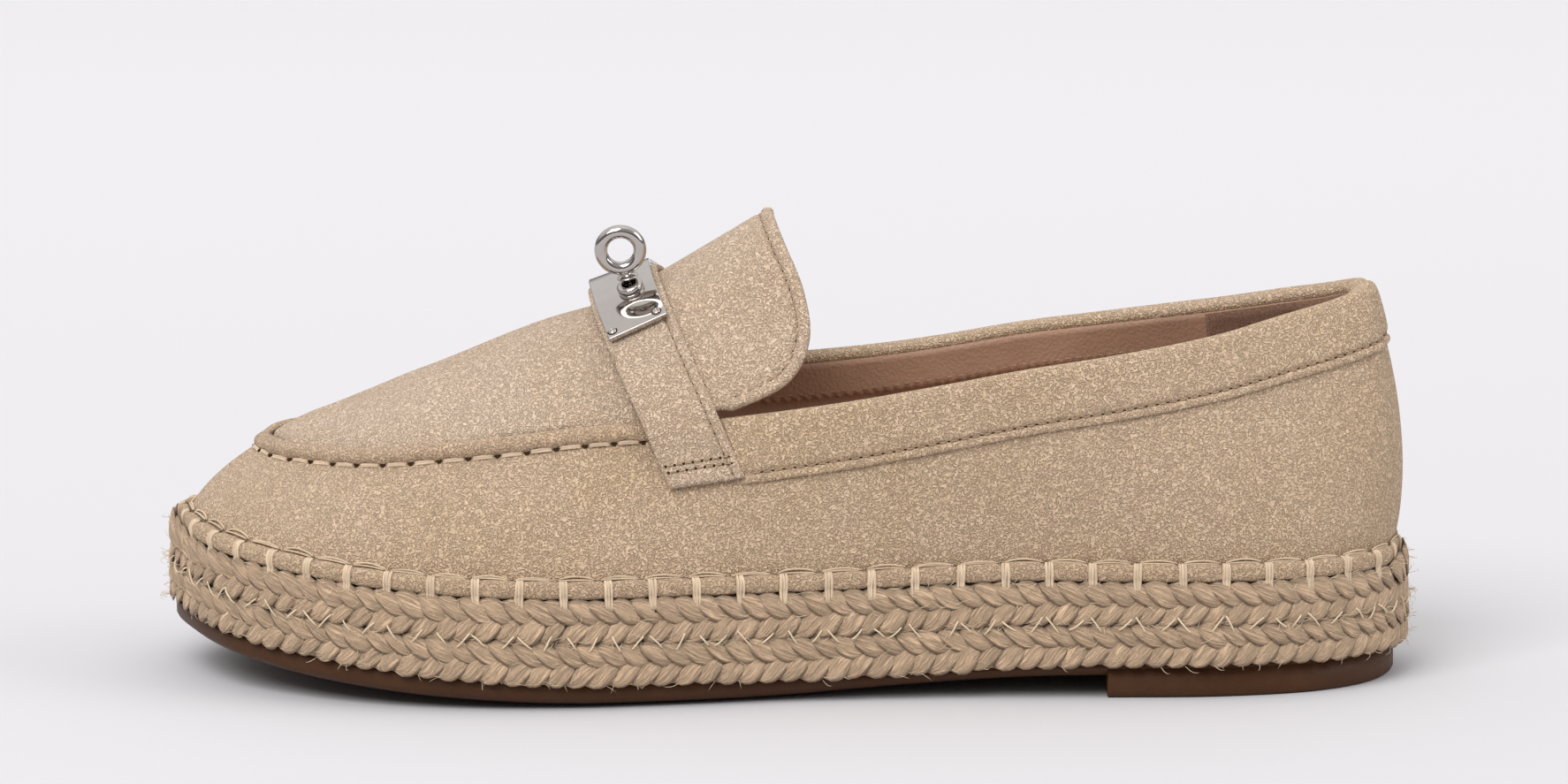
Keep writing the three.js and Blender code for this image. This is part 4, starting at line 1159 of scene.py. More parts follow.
class SHOE_OT_seam_roll(PieceOperator):
    """Raised roll round the apron, puckered by the cream stitches under it"""

    bl_idname = "shoe.seam_roll"
    bl_label = "Apron seam"

    HALF_WIDTH = 1.95

    def execute(self, context):
        start_up = line_up(place_of(THROAT_ROW + 0.7, -1))
        start_row = float(strap_front_row(-1, start_up)) - 0.08
        first = start_row / (2 * TOE_ROW)
        place = np.linspace(first, 1 - first, 1201)
        up = line_up(place)
        line = Line(on_last(place, up), last_normal(place, up))
        pitch = size("apron_pitch")
        count = round(line.length / pitch)
        pitch = line.length / count
        s = np.linspace(0.05, line.length - 0.05, 40 * (count // 3))
        wave = np.cos(2 * math.pi * s / pitch)
        normal = line.normal(s)
        across = np.cross(line.along(s), normal)
        point = line.at(s)
        half = self.HALF_WIDTH
        tail = smoothstep(0.0, 5.0, np.minimum(s, line.length - s))
        toe = smoothstep(12.2, 13.6, row_of(np.interp(s, line.lengths, place)))
        tall = (ROLL_HEIGHT - 0.35) * (1 - 0.3 * toe)
        rings = []
        for angle in np.linspace(math.pi, 0, 15):
            side = -math.cos(angle)
            lower = smoothstep(0.1, 0.95, -side)
            reach = half * (abs(side) ** 0.85) * np.sign(side)
            pinch = 1 - 0.16 * lower * (0.5 + 0.5 * wave) ** 3
            height = tall * math.sin(angle) ** 0.72 * (1 - 0.05 * (0.5 + 0.5 * wave))
            height = height * (0.5 + 0.5 * tail) + 0.05
            rings.append(point + across * (reach * pinch)[:, None] + normal * height[:, None])
        base = point - normal * 0.25
        rings.append(base + across * half * 0.8)
        rings.append(base - across * half * 0.8)
        suede_form("apron_roll", rings, "roll_suede", "apron_seam_roll")
        self.stitches(line, pitch, count)
        # A dark cord along the roll's upper edge: painted shade where the groove lies in soft shadow.
        crease = (point + across * (half * 1.03) + normal * 0.45)[None, 4:-4:4]
        threads("apron_crease", crease, normal[None, 4:-4:4], 0.26, "crease", "suede")
        return {"FINISHED"}

    def stitches(self, line, pitch, count):
        """Cream thread at the roll's lower edge, and dark dots of painted shade at the holes that it
        runs through.
        """
        side = -(self.HALF_WIDTH + 0.05)
        paths, normals = [], []
        first, last = 2.5, line.length - 2.5
        ends = first + 4 * pitch
        parts = (first, ends, 0.2), (ends, line.length - ends, -0.02), (line.length - ends, last, 0.2)
        for start, end, sunk in parts:
            for shift, lift in ((0.0, 0.2), (-0.34, 0.02)):
                found, facing = running_stitches(
                    line, start, end, pitch, pitch - 0.9, 0.24, side=side + shift, lift=lift + sunk,
                )
                paths.append(found)
                normals.append(facing)
        threads("apron_thread", paths, normals, 0.27, "thread", "jute", sides=8)
        # Dark dots of painted shade at the thread's holes.
        s = 2.05 + np.arange(count) * pitch
        normal = line.normal(s)
        where = line.at(s) + np.cross(line.along(s), normal) * (side - 0.1) + normal * 0.3
        shade_dots("apron_pits", where, normal, 0.62)


class SHOE_OT_collar(PieceOperator):
    """Folded band round the collar, with its row of fine stitches"""

    bl_idname = "shoe.collar"
    bl_label = "Collar band"

    # Down from the collar's edge, and out from the last, on the outer face.
    PROFILE = (
        (11.6, 0.1), (11.75, 0.45), (11.5, 0.85), (10.9, 1.05), (10.25, 0.95), (9.8, 0.0),
        (9.35, 0.95), (8.4, 1.15), (6.0, 1.3), (3.2, 1.4), (1.2, 1.45),
    )

    def execute(self, context):
        first = (THROAT_ROW + 0.1) / (2 * TOE_ROW)
        place = np.mod(np.linspace(-first, first, 801), 1.0)
        under_strap = 1 - 0.85 * smoothstep(STRAP_REAR - 0.005, STRAP_REAR + 0.02, row_of(place))
        top = collar_up(place)
        upwards = unit(on_last(place, top) - on_last(place, top - SMALL))
        out = CLEARANCE + BAND_THICKNESS
        rings = [below_collar(place, down, away * under_strap) for down, away in self.PROFILE]
        for distance, lift in (
            (out * 0.95, 0.35), (out * 0.5, out * 0.95), (-WALL_THICKNESS / 2, out * 1.15),
            (-WALL_THICKNESS - out * 0.5, out * 0.95), (-WALL_THICKNESS - out * 0.95, 0.35),
        ):
            away = distance * under_strap if distance > 0 else distance
            rings.append(on_last(place, top, away) + upwards * lift * under_strap[:, None])
        for down, away in ((0.3, -3.1), (0.7, -3.0), (0.9, -2.7), (0.9, -2.3)):
            rings.append(below_collar(place, down, away))
        rings.append(on_last(place, top, -1.0) - upwards)
        piece = suede_form("collar_band", rings, "suede", "collar_binding")
        smoothness = piece.modifiers.new("smoothness", "SUBSURF")
        smoothness.levels = smoothness.render_levels = 1
        seam_up = up_at_rise(place, collar_rise(place) - 9.8)
        line = Line(on_last(place, seam_up, 0.42), last_normal(place, seam_up))
        fine_seam("collar", line, 5.5, 0.2)
        return {"FINISHED"}


class SHOE_OT_tongue(PieceOperator):
    """Tongue that stands up behind the strap, with a sewn edge"""

    bl_idname = "shoe.tongue"
    bl_label = "Tongue"

    def execute(self, context):
        share = np.linspace(-1, 1, 97)
        side = np.where(share < 0, 1, -1)
        way = np.abs(share)
        up = 1 - (1 - (throat_up(side) + 0.03)) * way
        start = on_last(place_of(TONGUE_ROOT, side), up)

        def distance(row):
            return np.linalg.norm(start - on_last(place_of(row, side), up), axis=-1)

        front = solve(distance, TONGUE_TUCK + 0 * up, TONGUE_ROOT, FRONT_ROW)
        flare = np.radians(TONGUE_FLARE * smooth_curve(TONGUE[:, 0], TONGUE[:, 2], way * way))
        reach = TONGUE_REACH * smooth_curve(TONGUE[:, 0], TONGUE[:, 1], way * way)
        reach = reach * np.where(side > 0, 1 - 0.12 * smoothstep(0.03, 0.4, way), 1)
        free = np.stack([np.cos(flare), 0 * flare, np.sin(flare)], -1)
        steps = np.concatenate([np.linspace(-1, 0, 9)[:-1], np.linspace(0, 1, 49) ** 0.9])
        rows = []
        for step in steps:
            if step <= 0:
                row = TONGUE_ROOT - step * (front - TONGUE_ROOT)
                rows.append(on_last(place_of(row, side), up))
            else:
                rows.append(start + free * (reach * step)[:, None])
        sheet = np.stack(rows, 1)
        normal = unit(np.cross(np.gradient(sheet, axis=0), np.gradient(sheet, axis=1)))
        brim = sheet[:, -1]
        gap = np.linalg.norm(sheet[:, :, None] - brim[None, None], axis=-1).min(-1)
        border = 2.5
        raised = 0.35 * (1 - smoothstep(border - 0.7, border + 0.1, gap))
        trough = -0.5 * np.exp(-(((gap - border) / 0.55) ** 2))
        thin = -0.55 * (1 - smoothstep(0.0, 0.9, gap))
        free_part = steps > 0
        relief = (raised + trough + thin) * free_part
        over = sheet + normal * (CLEARANCE + TONGUE_THICKNESS + relief)[..., None]
        under = sheet + normal * (CLEARANCE - 0.8 * relief)[..., None]
        self.shell(over, under)
        line = self.line_inside(sheet, normal, gap, border, steps)
        fine_seam("tongue", line, 0.5, 0.2)
        return {"FINISHED"}

    @staticmethod
    def shell(over, under):
        """Both faces of the tongue and the edge between them, as one closed form."""
        middle = (over[:, -1] + under[:, -1]) / 2
        tip = middle + (middle - (over[:, -2] + under[:, -2]) / 2) * 0.5
        rings = np.concatenate([over, tip[:, None], under[:, ::-1]], 1)
        mesh = patch("tongue_suede", closed(rings), cap=True)
        finished("tongue_suede", mesh, "pale_suede", replaces=["tongue"])

    @staticmethod
    def line_inside(sheet, normal, gap, border, steps):
        """The line on the tongue at a distance inside its free edge."""
        points, normals = [], []
        for i in range(sheet.shape[0]):
            column = gap[i]
            here = (column[:-1] >= border) & (column[1:] < border) & (steps[:-1] > 0)
            inside = np.nonzero(here)[0]
            if not len(inside):
                continue
            j = inside[-1]
            mix = (column[j] - border) / (column[j] - column[j + 1])
            here = sheet[i, j] * (1 - mix) + sheet[i, j + 1] * mix
            points.append(here + normal[i, j] * (CLEARANCE + TONGUE_THICKNESS - 0.42))
            normals.append(normal[i, j])
        return Line(np.array(points), np.array(normals))


class SHOE_OT_strap(PieceOperator):
    """Strap over the instep, with a sewn rear edge and double rows at its ends"""

    bl_idname = "shoe.strap"
    bl_label = "Strap"

    def execute(self, context):
        share = np.linspace(-1, 1, 161)
        side = np.where(share < 0, -1, 1)
        ends = up_at_rise(place_of(THROAT_ROW, side), STRAP_RISE)
        up = ends + (1 - ends) * (1 - np.abs(share))
        base = strap_base(side, up)
        from_end = np.abs(share)
        shape = (
            (0.0, 0.35), (-0.006, 0.7), (0.012, 0.95), (0.04, 1.08), (0.08, 1.04), (0.104, 0.74),
            (0.13, 1.0), (0.3, 1.02), (0.5, 1.03), (0.7, 1.02), (0.88, 1.0), (0.96, 0.98),
            (0.99, 0.85), (1.004, 0.6), (1.0, 0.3),
        )
        rings = []
        for across, height in shape:
            level = base + STRAP_THICKNESS * height
            rings.append(across_strap(side, up, across, level - 0.35 * smoothstep(0.985, 1.0, from_end)))
        for across in (1.0, 0.75, 0.5, 0.25, 0.0):
            rings.append(across_strap(side, up, across, base))
        suede_form("strap_suede", rings, "pale_suede", "strap")
        self.stitches(side, up, base)
        return {"FINISHED"}

    @staticmethod
    def stitches(side, up, base):
        seam = across_strap(side, up, 0.104, base + STRAP_THICKNESS * 0.78)
        line = Line(seam, last_normal(place_of(THROAT_ROW + 0.1, side), up))
        fine_seam("strap_rear", line, 1.5, 0.17)
        paths, normals, pit_points, pit_normals = [], [], [], []
        for end in (-1, 1):
            top = float(up_at_rise(place_of(THROAT_ROW, end), STRAP_RISE))
            place = place_of(THROAT_ROW + 0.3, end)
            for rise in (STRAP_RISE + 1.9, STRAP_RISE + 3.1):
                level = max(float(up_at_rise(place, rise)), top + 0.004)
                width = np.linspace(0.06, 0.95, 40)
                row_up = level + 0 * width
                away = strap_base(end, row_up) + STRAP_THICKNESS * 1.05
                points = across_strap(end, row_up, width, away)
                line = Line(points, last_normal(place + 0 * width, row_up))
                found, facing = running_stitches(
                    line, 0.2, line.length, 1.9, 1.35, 0.17, lift=-0.02,
                )
                paths.append(found)
                normals.append(facing)
                s = np.arange(0.0, line.length, 1.9)
                pit_points.append(line.at(s))
                pit_normals.append(line.normal(s))
        threads("strap_stitches", paths, normals, 0.17, "fine_thread", "suede")
        # Dark dots of painted shade at the stitches' holes.
        points, normals = np.concatenate(pit_points), np.concatenate(pit_normals)
        shade_dots("strap_pits", points, normals, 0.34, deep=0.3)


class SHOE_OT_binding(PieceOperator):
    """Suede roll along the top of the braid, pinched by whip stitches"""

    bl_idname = "shoe.binding"
    bl_label = "Sole binding"

    def execute(self, context):
        count = round(SOLE_LINE.length / size("whip_pitch"))
        pitch = SOLE_LINE.length / count
        phase = self.phase(pitch)
        s = np.linspace(0, SOLE_LINE.length, count * 14 + 1)
        wave = np.cos(2 * math.pi * (s - phase) / pitch)
        behind = np.mod(s - phase, pitch)
        pinch = np.exp(-((np.minimum(behind, pitch - behind) / 1.3) ** 2))
        swell = 1 + 0.05 * (0.5 - 0.5 * wave) - 0.13 * pinch
        roll = self.roll_frame(s)
        rings = []
        for angle in np.linspace(-math.pi, math.pi, 19)[:-1]:
            out, z = self.round_roll(roll, angle, swell)
            rings.append(beside_sole(s, z, out))
        suede_form("binding_roll", rings, "roll_suede", "sole_binding")
        self.whip(count, pitch, phase)
        return {"FINISHED"}

    @staticmethod
    def phase(pitch):
        """The length round the sole of a stitch that the photograph shows below the instep."""
        outer = ROUND < 0.5
        x = ROUND_POINTS[outer, 0]
        return float(np.interp(41.2, -x, SOLE_LINE.lengths[outer])) % pitch

    @staticmethod
    def roll_frame(s):
        """Middle and half sizes of the roll, from where it touches the upper to its brim."""
        place = place_at(s)
        foot, out = edge(place, 0 * place)
        top = on_last(place, up_at_rise(place, BINDING_HEIGHT), CLEARANCE)
        touch = ((top - foot) * out).sum(-1)
        level = sole_top(foot[..., 0] - out[..., 0] * 2)
        brim = -0.1 - 1.4 * rope_end(place)
        half_width = (brim - touch) / 2
        half_height = (BINDING_HEIGHT + 0.25) / 2
        return (touch + brim) / 2, half_width, level + 0.35 + half_height, half_height

    @staticmethod
    def round_roll(roll, angle, swell, lift=0.0):
        """How far out and how high the roll's face is, at an angle round it."""
        middle, half_width, level, half_height = roll
        c, d = np.cos(angle), np.sin(angle)
        out = middle + (half_width * swell + lift) * np.sign(c) * np.abs(c) ** 0.8
        return out, level + (half_height * swell + lift) * np.sign(d) * np.abs(d) ** 0.8
    @classmethod
    def whip(cls, count, pitch, phase):
        """Whip stitches of three strands, from the upper over the roll to the braid."""
        stations = phase + np.arange(count) * pitch
        rng = np.random.default_rng(5)
        stations = stations + rng.normal(0, 0.12, count)
        share = np.linspace(0, 1, 15)
        strand = size("whip_width") / 3
        # A stitch turns round the roll in the first part of its length and then drops.
        turn_end, first_angle, sweep = 0.72, math.radians(118), math.radians(158)
        sunk, lift, reach_below, stand_off = 0.93, 0.14, 2.9, 0.28
        paths, normals = [], []
        for n in (-1, 0, 1):
            lean = rng.normal(0, 0.12, count)[:, None]
            spread = n * strand * (1 - 0.25 * smoothstep(0.6, 1.0, share))
            s = stations[:, None] + spread + lean * (share - 0.5) * 2
            over = share <= turn_end
            angle = first_angle - sweep * np.minimum(share / turn_end, 1)
            roll = cls.roll_frame(s)
            out, z = cls.round_roll(roll, angle, sunk, lift)
            drop = np.clip((share - turn_end) / (1 - turn_end), 0, 1)
            low = roll[2] - roll[3] - reach_below
            out_below = out[:, over][:, -1:] * (1 - drop) + stand_off * drop
            out = np.where(over, out, out_below - 1.0 * smoothstep(0.8, 1.0, drop))
            z = np.where(over, z, z[:, over][:, -1:] * (1 - drop) + low * drop)
            paths.append(beside_sole(s, z, out))
            normals.append(edge(place_at(s))[1])
        threads("whip_stitches", paths, normals, strand * 0.56, "thread", "jute", sides=8)
        ends, facing = paths[1][:, -1], normals[1][:, -1]
        # Dark dots of painted shade where the stitches enter the braid.
        shade_dots("whip_pits", ends + facing * 0.9, facing, 0.75, deep=0.6, slot="jute")
        cls.slack(stations, pitch, rng)

    @staticmethod
    def slack(stations, pitch, rng):
        """Threads that pass from one whip stitch to the next along the upper."""
        share = np.linspace(0, 1, 13)
        paths, normals = [], []
        for height, away, start in ((0.95, 0.34, 0.2), (0.35, 0.45, 0.7)):
            s = stations[:, None] + start + (pitch - 0.2 - start) * share
            bend = np.sin(math.pi * share) ** 0.7
            swing = rng.uniform(0.6, 1.15, len(stations))[:, None]
            place = place_at(s)
            up = up_at_rise(place, BINDING_HEIGHT + 0.1 + height * swing * bend)
            paths.append(on_last(place, up, away))
            normals.append(last_normal(place, up))
        threads("slack_threads", paths, normals, 0.24, "thread", "jute")


class SHOE_OT_braid(PieceOperator):
    """Two courses of braided jute, their joining thread and loose fibres"""

    bl_idname = "shoe.braid"
    bl_label = "Braid"

    def execute(self, context):
        self.core()
        for course, name in ((0, "lower"), (1, "upper")):
            mesh = self.course(f"braid_{name}", course)
            finished(f"braid_{name}", mesh, "jute", replaces=[f"jute_course_{name}"])
        self.joining_thread()
        self.hairs()
        return {"FINISHED"}

    @staticmethod
    def core():
        """The body of the midsole behind the strands, with its jute painted darker as painted shade."""
        row = np.linspace(0, TOE_ROW, 141)

        def side_rings(side):
            point, _ = edge(place_of(row, side), 1.0 + 0 * row)
            x = point[:, 0]
            levels = [
                rubber_top(x) + CLEARANCE + (2 * course_at(x) - 0.6) * share
                for share in np.linspace(0, 1, 5)
            ]
            return [np.stack([x, point[:, 1], level], 1) for level in levels]

        mesh = across_shoe("braid_core", side_rings)
        courses = ["jute_course_lower", "jute_course_upper"]
        finished("braid_core", mesh, "jute_core", replaces=courses)

    @staticmethod
    def course(name, course):
        """One course: a row of strands that leans each way, meeting in chevrons."""
        length = SOLE_LINE.length
        count = round(length / size("strand_pitch"))
        pitch = length / count
        rng = np.random.default_rng(11 + course)
        total = 2 * count
        upper = np.arange(total) % 2
        centre = (np.arange(total) // 2 + 0.5 * upper) * pitch + rng.normal(0, 0.16, total)
        centre += course * pitch * 0.37
        lean = np.where(upper, 8.0, 7.0) * rng.normal(1, 0.05, total)
        width = size("strand_width") / 2 * np.where(upper, 1.12, 1.25)
        half_width = width * rng.normal(1, 0.09, total)
        half_depth = 0.5 * rng.normal(1, 0.1, total)
        stand = rng.normal(0, 0.08, total)

        def shape(copy, share, x, y):
            up = upper[copy]
            reach = share + 0.05 * np.sin(2 * math.pi * share)
            s = centre[copy] + lean[copy] * (0.5 - reach)
            height = np.where(up, 1.0 - 0.5 * share, 0.02 + 0.52 * share)
            point, _ = edge(place_at(s))
            tall = course_at(point[:, 0]) - CLEARANCE
            floor = rubber_top(point[:, 0]) + CLEARANCE + course * course_at(point[:, 0])
            raised = course * up * (1 - share) * 2.4 * rope_end(place_at(s))
            ds = -lean[copy]
            dz = np.where(up, -0.5, 0.52) * tall
            long = np.hypot(ds, dz)
            thick = np.clip(1 - np.abs(2 * share - 1) ** 2.4, 0, 1) ** 0.6
            bulge = half_width[copy] * thick * x
            out = -0.55 + 0.65 * np.sin(math.pi * (0.08 + 0.84 * share)) ** 0.8 + stand[copy]
            out = out + half_depth[copy] * thick * y + np.where(up, 0.36, 0.3) * thick * x
            z = floor + height * tall + raised + ds / long * bulge
            return beside_sole(s - dz / long * bulge, z, out)

        return copies(name, total, 8, 8, shape)

    @staticmethod
    def joining_thread():
        """Light thread that crosses from one course to the other."""
        length = SOLE_LINE.length
        count = round(length / 9.2)
        rng = np.random.default_rng(23)
        share = np.linspace(0, 1, 9)
        paths, normals = [], []
        for slope, shift in ((1, 0.0), (-1, 0.45)):
            start = (np.arange(count) + shift) * length / count + rng.normal(0, 0.7, count)
            wide = rng.uniform(2.0, 3.8, count)[:, None]
            tall = rng.uniform(2.4, 4.4, count)[:, None]
            s = start[:, None] + wide * share
            x = outline_at(place_at(s))[..., 0]
            level = rubber_top(x) + CLEARANCE + course_at(x)
            bow = rng.uniform(-0.3, 0.3, count)[:, None] * np.sin(math.pi * share)
            z = level + slope * tall * (share - 0.5) + bow
            ends = (np.abs(share - 0.5) * 2) ** 6
            out = 0.62 + 0.2 * np.sin(math.pi * share) - 1.0 * ends
            paths.append(beside_sole(s, z, out))
            normals.append(edge(place_at(s))[1])
        threads("joining_thread", paths, normals, 0.19, "hair", "jute", sides=5)

    @staticmethod
    def hairs():
        """Loose fibres that stand off the braid."""
        rng = np.random.default_rng(31)
        count = 1500
        s0 = rng.uniform(0, SOLE_LINE.length, count)[:, None]
        x = outline_at(place_at(s0))[..., 0]
        lines = rng.choice([0.02, 0.25, 0.5, 0.52, 0.75, 0.98], count)[:, None]
        level = rubber_top(x) + CLEARANCE + 2 * course_at(x) * lines
        share = np.linspace(0, 1, 6)
        run = rng.uniform(-4.2, 4.2, count)[:, None]
        climb = rng.uniform(-2.2, 2.2, count)[:, None]
        stand = rng.uniform(0.25, 1.5, count)[:, None] * (1 + 0.8 * rope_end(place_at(s0)))
        curl = rng.uniform(-0.8, 0.8, count)[:, None]
        s = s0 + run * share
        z = level + climb * share + curl * np.sin(math.pi * share)
        bow = np.sin(math.pi * share * rng.uniform(0.5, 0.95, count)[:, None])
        out = -0.5 + (stand + 0.6) * bow
        threads(
            "jute_hairs", beside_sole(s, z, out), edge(place_at(s))[1], 0.07, "hair", "jute",
            sides=4, profile=np.linspace(1, 0.4, 6),
        )


class SHOE_OT_outsole(PieceOperator):
    """Rubber outsole with its rounded tread edge and low heel"""

    bl_idname = "shoe.outsole"
    bl_label = "Outsole"

    def execute(self, context):
        plate = (
            (7.0, tread_height, 0.0), (4.0, tread_height, 0.35), (1.6, tread_height, 1.1),
            (0.35, tread_height, 1.9), (0.0, tread_height, 2.5), (0.0, rubber_top, -0.5),
            (0.25, rubber_top, -0.12), (0.8, rubber_top, 0.0),
        )
        mesh = self.slab("outsole_plate", plate)
        finished("outsole_plate", mesh, "rubber", replaces=["outsole"])
        heel = (
            (1.2, np.zeros_like, 0.0), (0.35, np.zeros_like, 0.25), (0.0, np.zeros_like, 0.9),
            (0.0, tread_height, 2.6),
        )
        mesh = self.slab("heel_block", heel)
        bm = bmesh.new()
        bm.from_mesh(mesh)
        everything = bm.verts[:] + bm.edges[:] + bm.faces[:]
        cut = bmesh.ops.bisect_plane(
            bm, geom=everything, plane_co=(-HEEL_BREAST * MM, 0, 0), plane_no=(-1, 0, 0),
            clear_outer=True,
        )
        border = [item for item in cut["geom_cut"] if isinstance(item, bmesh.types.BMEdge)]
        bmesh.ops.holes_fill(bm, edges=border, sides=0)
        bmesh.ops.bevel(
            bm, geom=border, offset=0.45 * MM, offset_type="OFFSET", segments=3, profile=0.5,
            affect="EDGES", material=-1, clamp_overlap=True,
        )
        bmesh.ops.recalc_face_normals(bm, faces=bm.faces)
        bm.to_mesh(mesh)
        bm.free()
        piece = finished("heel_block", mesh, "rubber", replaces=["outsole"])
        for polygon in piece.data.polygons:
            polygon.use_smooth = polygon.area < 2e-5
        return {"FINISHED"}

    @staticmethod
    def slab(name, levels):
        """A form across the shoe. Each level has an inset, a height along the shoe and a lift."""
        row = np.linspace(0, TOE_ROW, 281)
        taper = OUTSOLE_INSET_HEEL + (OUTSOLE_INSET_TOE - OUTSOLE_INSET_HEEL) * row / TOE_ROW

        def side_rings(side):
            points = []
            for inset, height, lift in levels:
                point, _ = edge(place_of(row, side), taper + inset)
                point[:, 2] = height(point[:, 0]) + lift
                points.append(point)
            return points

        return across_shoe(name, side_rings)


class SHOE_OT_lock(PieceOperator):
    """Turn lock: bent plate, screws, washer and turning ring"""

    bl_idname = "shoe.lock"
    bl_label = "Turn lock"

    def execute(self, context):
        self.plate()
        self.screws()
        self.washer()
        self.toggle()
        return {"FINISHED"}

    @staticmethod
    def plate():
        """A flat strip of metal with two rounded bends."""
        bm = bmesh.new()
        bmesh.ops.create_grid(bm, x_segments=3, y_segments=1, size=0.5)
        for vert in bm.verts:
            i = round((vert.co.x + 0.5) * 3)
            share = PLATE_MARGIN if vert.co.y < 0 else 1 - PLATE_MARGIN
            vert.co = on_plate(PLATE_KNOTS[i], share)[0] * MM
        bends = [e for e in bm.edges if not e.is_boundary]
        bmesh.ops.bevel(
            bm, geom=bends, offset=2.5 * MM, offset_type="OFFSET", segments=8, profile=0.5,
            affect="EDGES", material=-1, clamp_overlap=True,
        )
        up = sum((f.normal for f in bm.faces), Vector())
        if up.z < 0:
            bmesh.ops.reverse_faces(bm, faces=bm.faces)
        mesh = to_mesh(bm, "lock_plate_metal")
        piece = finished("lock_plate_metal", mesh, "metal", replaces=["lock_plate"])
        thicken(piece, PLATE_THICKNESS, 1.0)
        rim = piece.modifiers.new("rim", "BEVEL")
        rim.width = 0.28 * MM
        rim.segments = 4
        rim.limit_method = "ANGLE"
        rim.angle_limit = math.radians(50)
        rim.harden_normals = True

    @staticmethod
    def spin(bm, steps):
        """Spins the edges of a form round the z axis."""
        bmesh.ops.spin(
            bm, geom=bm.verts[:] + bm.edges[:], cent=(0, 0, 0), axis=(0, 0, 1), angle=2 * math.pi,
            steps=steps, use_merge=True,
        )
        bmesh.ops.remove_doubles(bm, verts=bm.verts, dist=1e-6)
        bmesh.ops.recalc_face_normals(bm, faces=bm.faces)

    @staticmethod
    def stand(bm, point, axis):
        """Turns a form from the z axis to another axis and moves it to a point."""
        turn = Vector((0, 0, 1)).rotation_difference(Vector(axis)).to_matrix()
        bmesh.ops.rotate(bm, verts=bm.verts, cent=(0, 0, 0), matrix=turn)
        bmesh.ops.translate(bm, verts=bm.verts, vec=Vector(point) * MM)

    @classmethod
    def turned(cls, profile, point, axis, steps=48):
        """Spins a profile of radii and heights round an axis that starts at a point."""
        bm = bmesh.new()
        verts = [bm.verts.new((radius * MM, 0, height * MM)) for radius, height in profile]
        for pair in zip(verts, verts[1:]):
            bm.edges.new(pair)
        cls.spin(bm, steps)
        cls.stand(bm, point, axis)
        return bm

    def screws(self):
        """Four small screws with a round socket, each on a dark disc of painted shade that shows as a
        ring round its head.
        """
        reach = PLATE_LENGTH / 2 - SCREW_MARGIN
        inside = PLATE_MARGIN + SCREW_MARGIN / STRAP_WIDTH
        head = (
            (0, 0.06), (0.26, 0.06), (0.32, 0.16), (0.34, 0.3), (0.42, 0.36), (0.66, 0.34),
            (0.8, 0.26), (0.88, 0.1), (0.88, -0.3),
        )
        # A dark disc under each head, wider than it: painted shade that shows as a ring round the head.
        socket = ((0, 0.03), (1.12, 0.03), (1.12, -0.2))
        for end, facet, end_name in ((-1, 0, "outer"), (1, 2, "inner")):
            for share, name in ((inside, "rear"), (1 - inside, "front")):
                point, _ = on_plate(-PLATE_OFFSET + end * reach, share, PLATE_THICKNESS)
                normal = self.facet_normal(facet)
                seat = self.on_facet(point, facet)
                bm = self.turned(head, seat, normal, 32)
                shade_disc = self.turned(socket, seat, normal, 24)
                label = f"recess_{end_name}_{name}"
                finished(label, to_mesh(shade_disc, label), "pit")
                label = f"screw_{end_name}_{name}"
                rivet = f"rivet_{end_name}_{name}"
                finished(label, to_mesh(bm, label), "metal", replaces=[rivet])

    @staticmethod
    def facet_normal(facet):
        corners = [
            on_plate(PLATE_KNOTS[facet + i], share)[0]
            for i in (0, 1) for share in (PLATE_MARGIN, 1 - PLATE_MARGIN)
        ]
        normal = np.cross(corners[2] - corners[0], corners[1] - corners[0])
        normal = normal / np.linalg.norm(normal)
        return normal if normal[2] > 0 else -normal

    @classmethod
    def on_facet(cls, point, facet):
        """Moves a point onto the plate's own flat face."""
        corner, _ = on_plate(PLATE_KNOTS[facet], PLATE_MARGIN)
        normal = cls.facet_normal(facet)
        return point + normal * ((corner - point) @ normal + PLATE_THICKNESS)

    def washer(self):
        point, normal = on_plate(-POST_OFFSET, 0.5 - POST_SETBACK / STRAP_WIDTH, PLATE_THICKNESS)
        profile = (
            (1.5, -0.8), (2.6, -0.8), (2.8, -0.6), (2.8, 0.5), (2.7, 0.72), (2.4, 0.92),
            (2.0, 1.05), (1.8, 1.1), (1.6, 1.05), (1.5, 0.9), (1.5, -0.8),
        )
        mesh = to_mesh(self.turned(profile, point + normal * CLEARANCE, normal), "lock_washer")
        finished("lock_washer", mesh, "metal", replaces=["lock_boss"])

    def toggle(self):
        """The ring and its waisted stem, which turn on the joint's axis."""
        joint = frame["joints"][0]
        point = np.array(joint["pos_m"]) / MM
        axis = np.array(joint["axis"])
        seat = 2.15
        foot = RING_LIFT - RING_RADIUS - RING_WIRE * 0.35
        profile = (
            (0, 1.0), (1.1, 1.0), (1.1, seat - 0.1), (1.3, seat - 0.02), (2.0, seat),
            (2.22, seat + 0.1), (2.25, seat + 0.25), (2.05, seat + 0.4), (1.5, seat + 0.52),
            (1.05, seat + 0.62), (0.9, (seat + foot) / 2 + 0.35), (1.0, foot - 0.12),
            (1.35, foot + 0.15), (1.3, foot + 0.5), (0, foot + 0.7),
        )
        bm = self.turned(profile, point, axis)
        ring = bmesh.new()
        bmesh.ops.create_circle(ring, segments=28, radius=RING_WIRE * MM, cap_ends=False)
        quarter = (0, 1, 0)
        self.stand(ring, (RING_RADIUS, 0, 0), quarter)
        self.spin(ring, 72)
        self.stand(ring, (0, 0, RING_LIFT), quarter)
        self.stand(ring, point, axis)
        part = to_mesh(ring, "toggle_ring_part")
        bm.from_mesh(part)
        bpy.data.meshes.remove(part)
        mesh = to_mesh(bm, "toggle_ring")
        finished("toggle_ring", mesh, "metal", body=TOGGLE_BODY, replaces=["lock_toggle"])


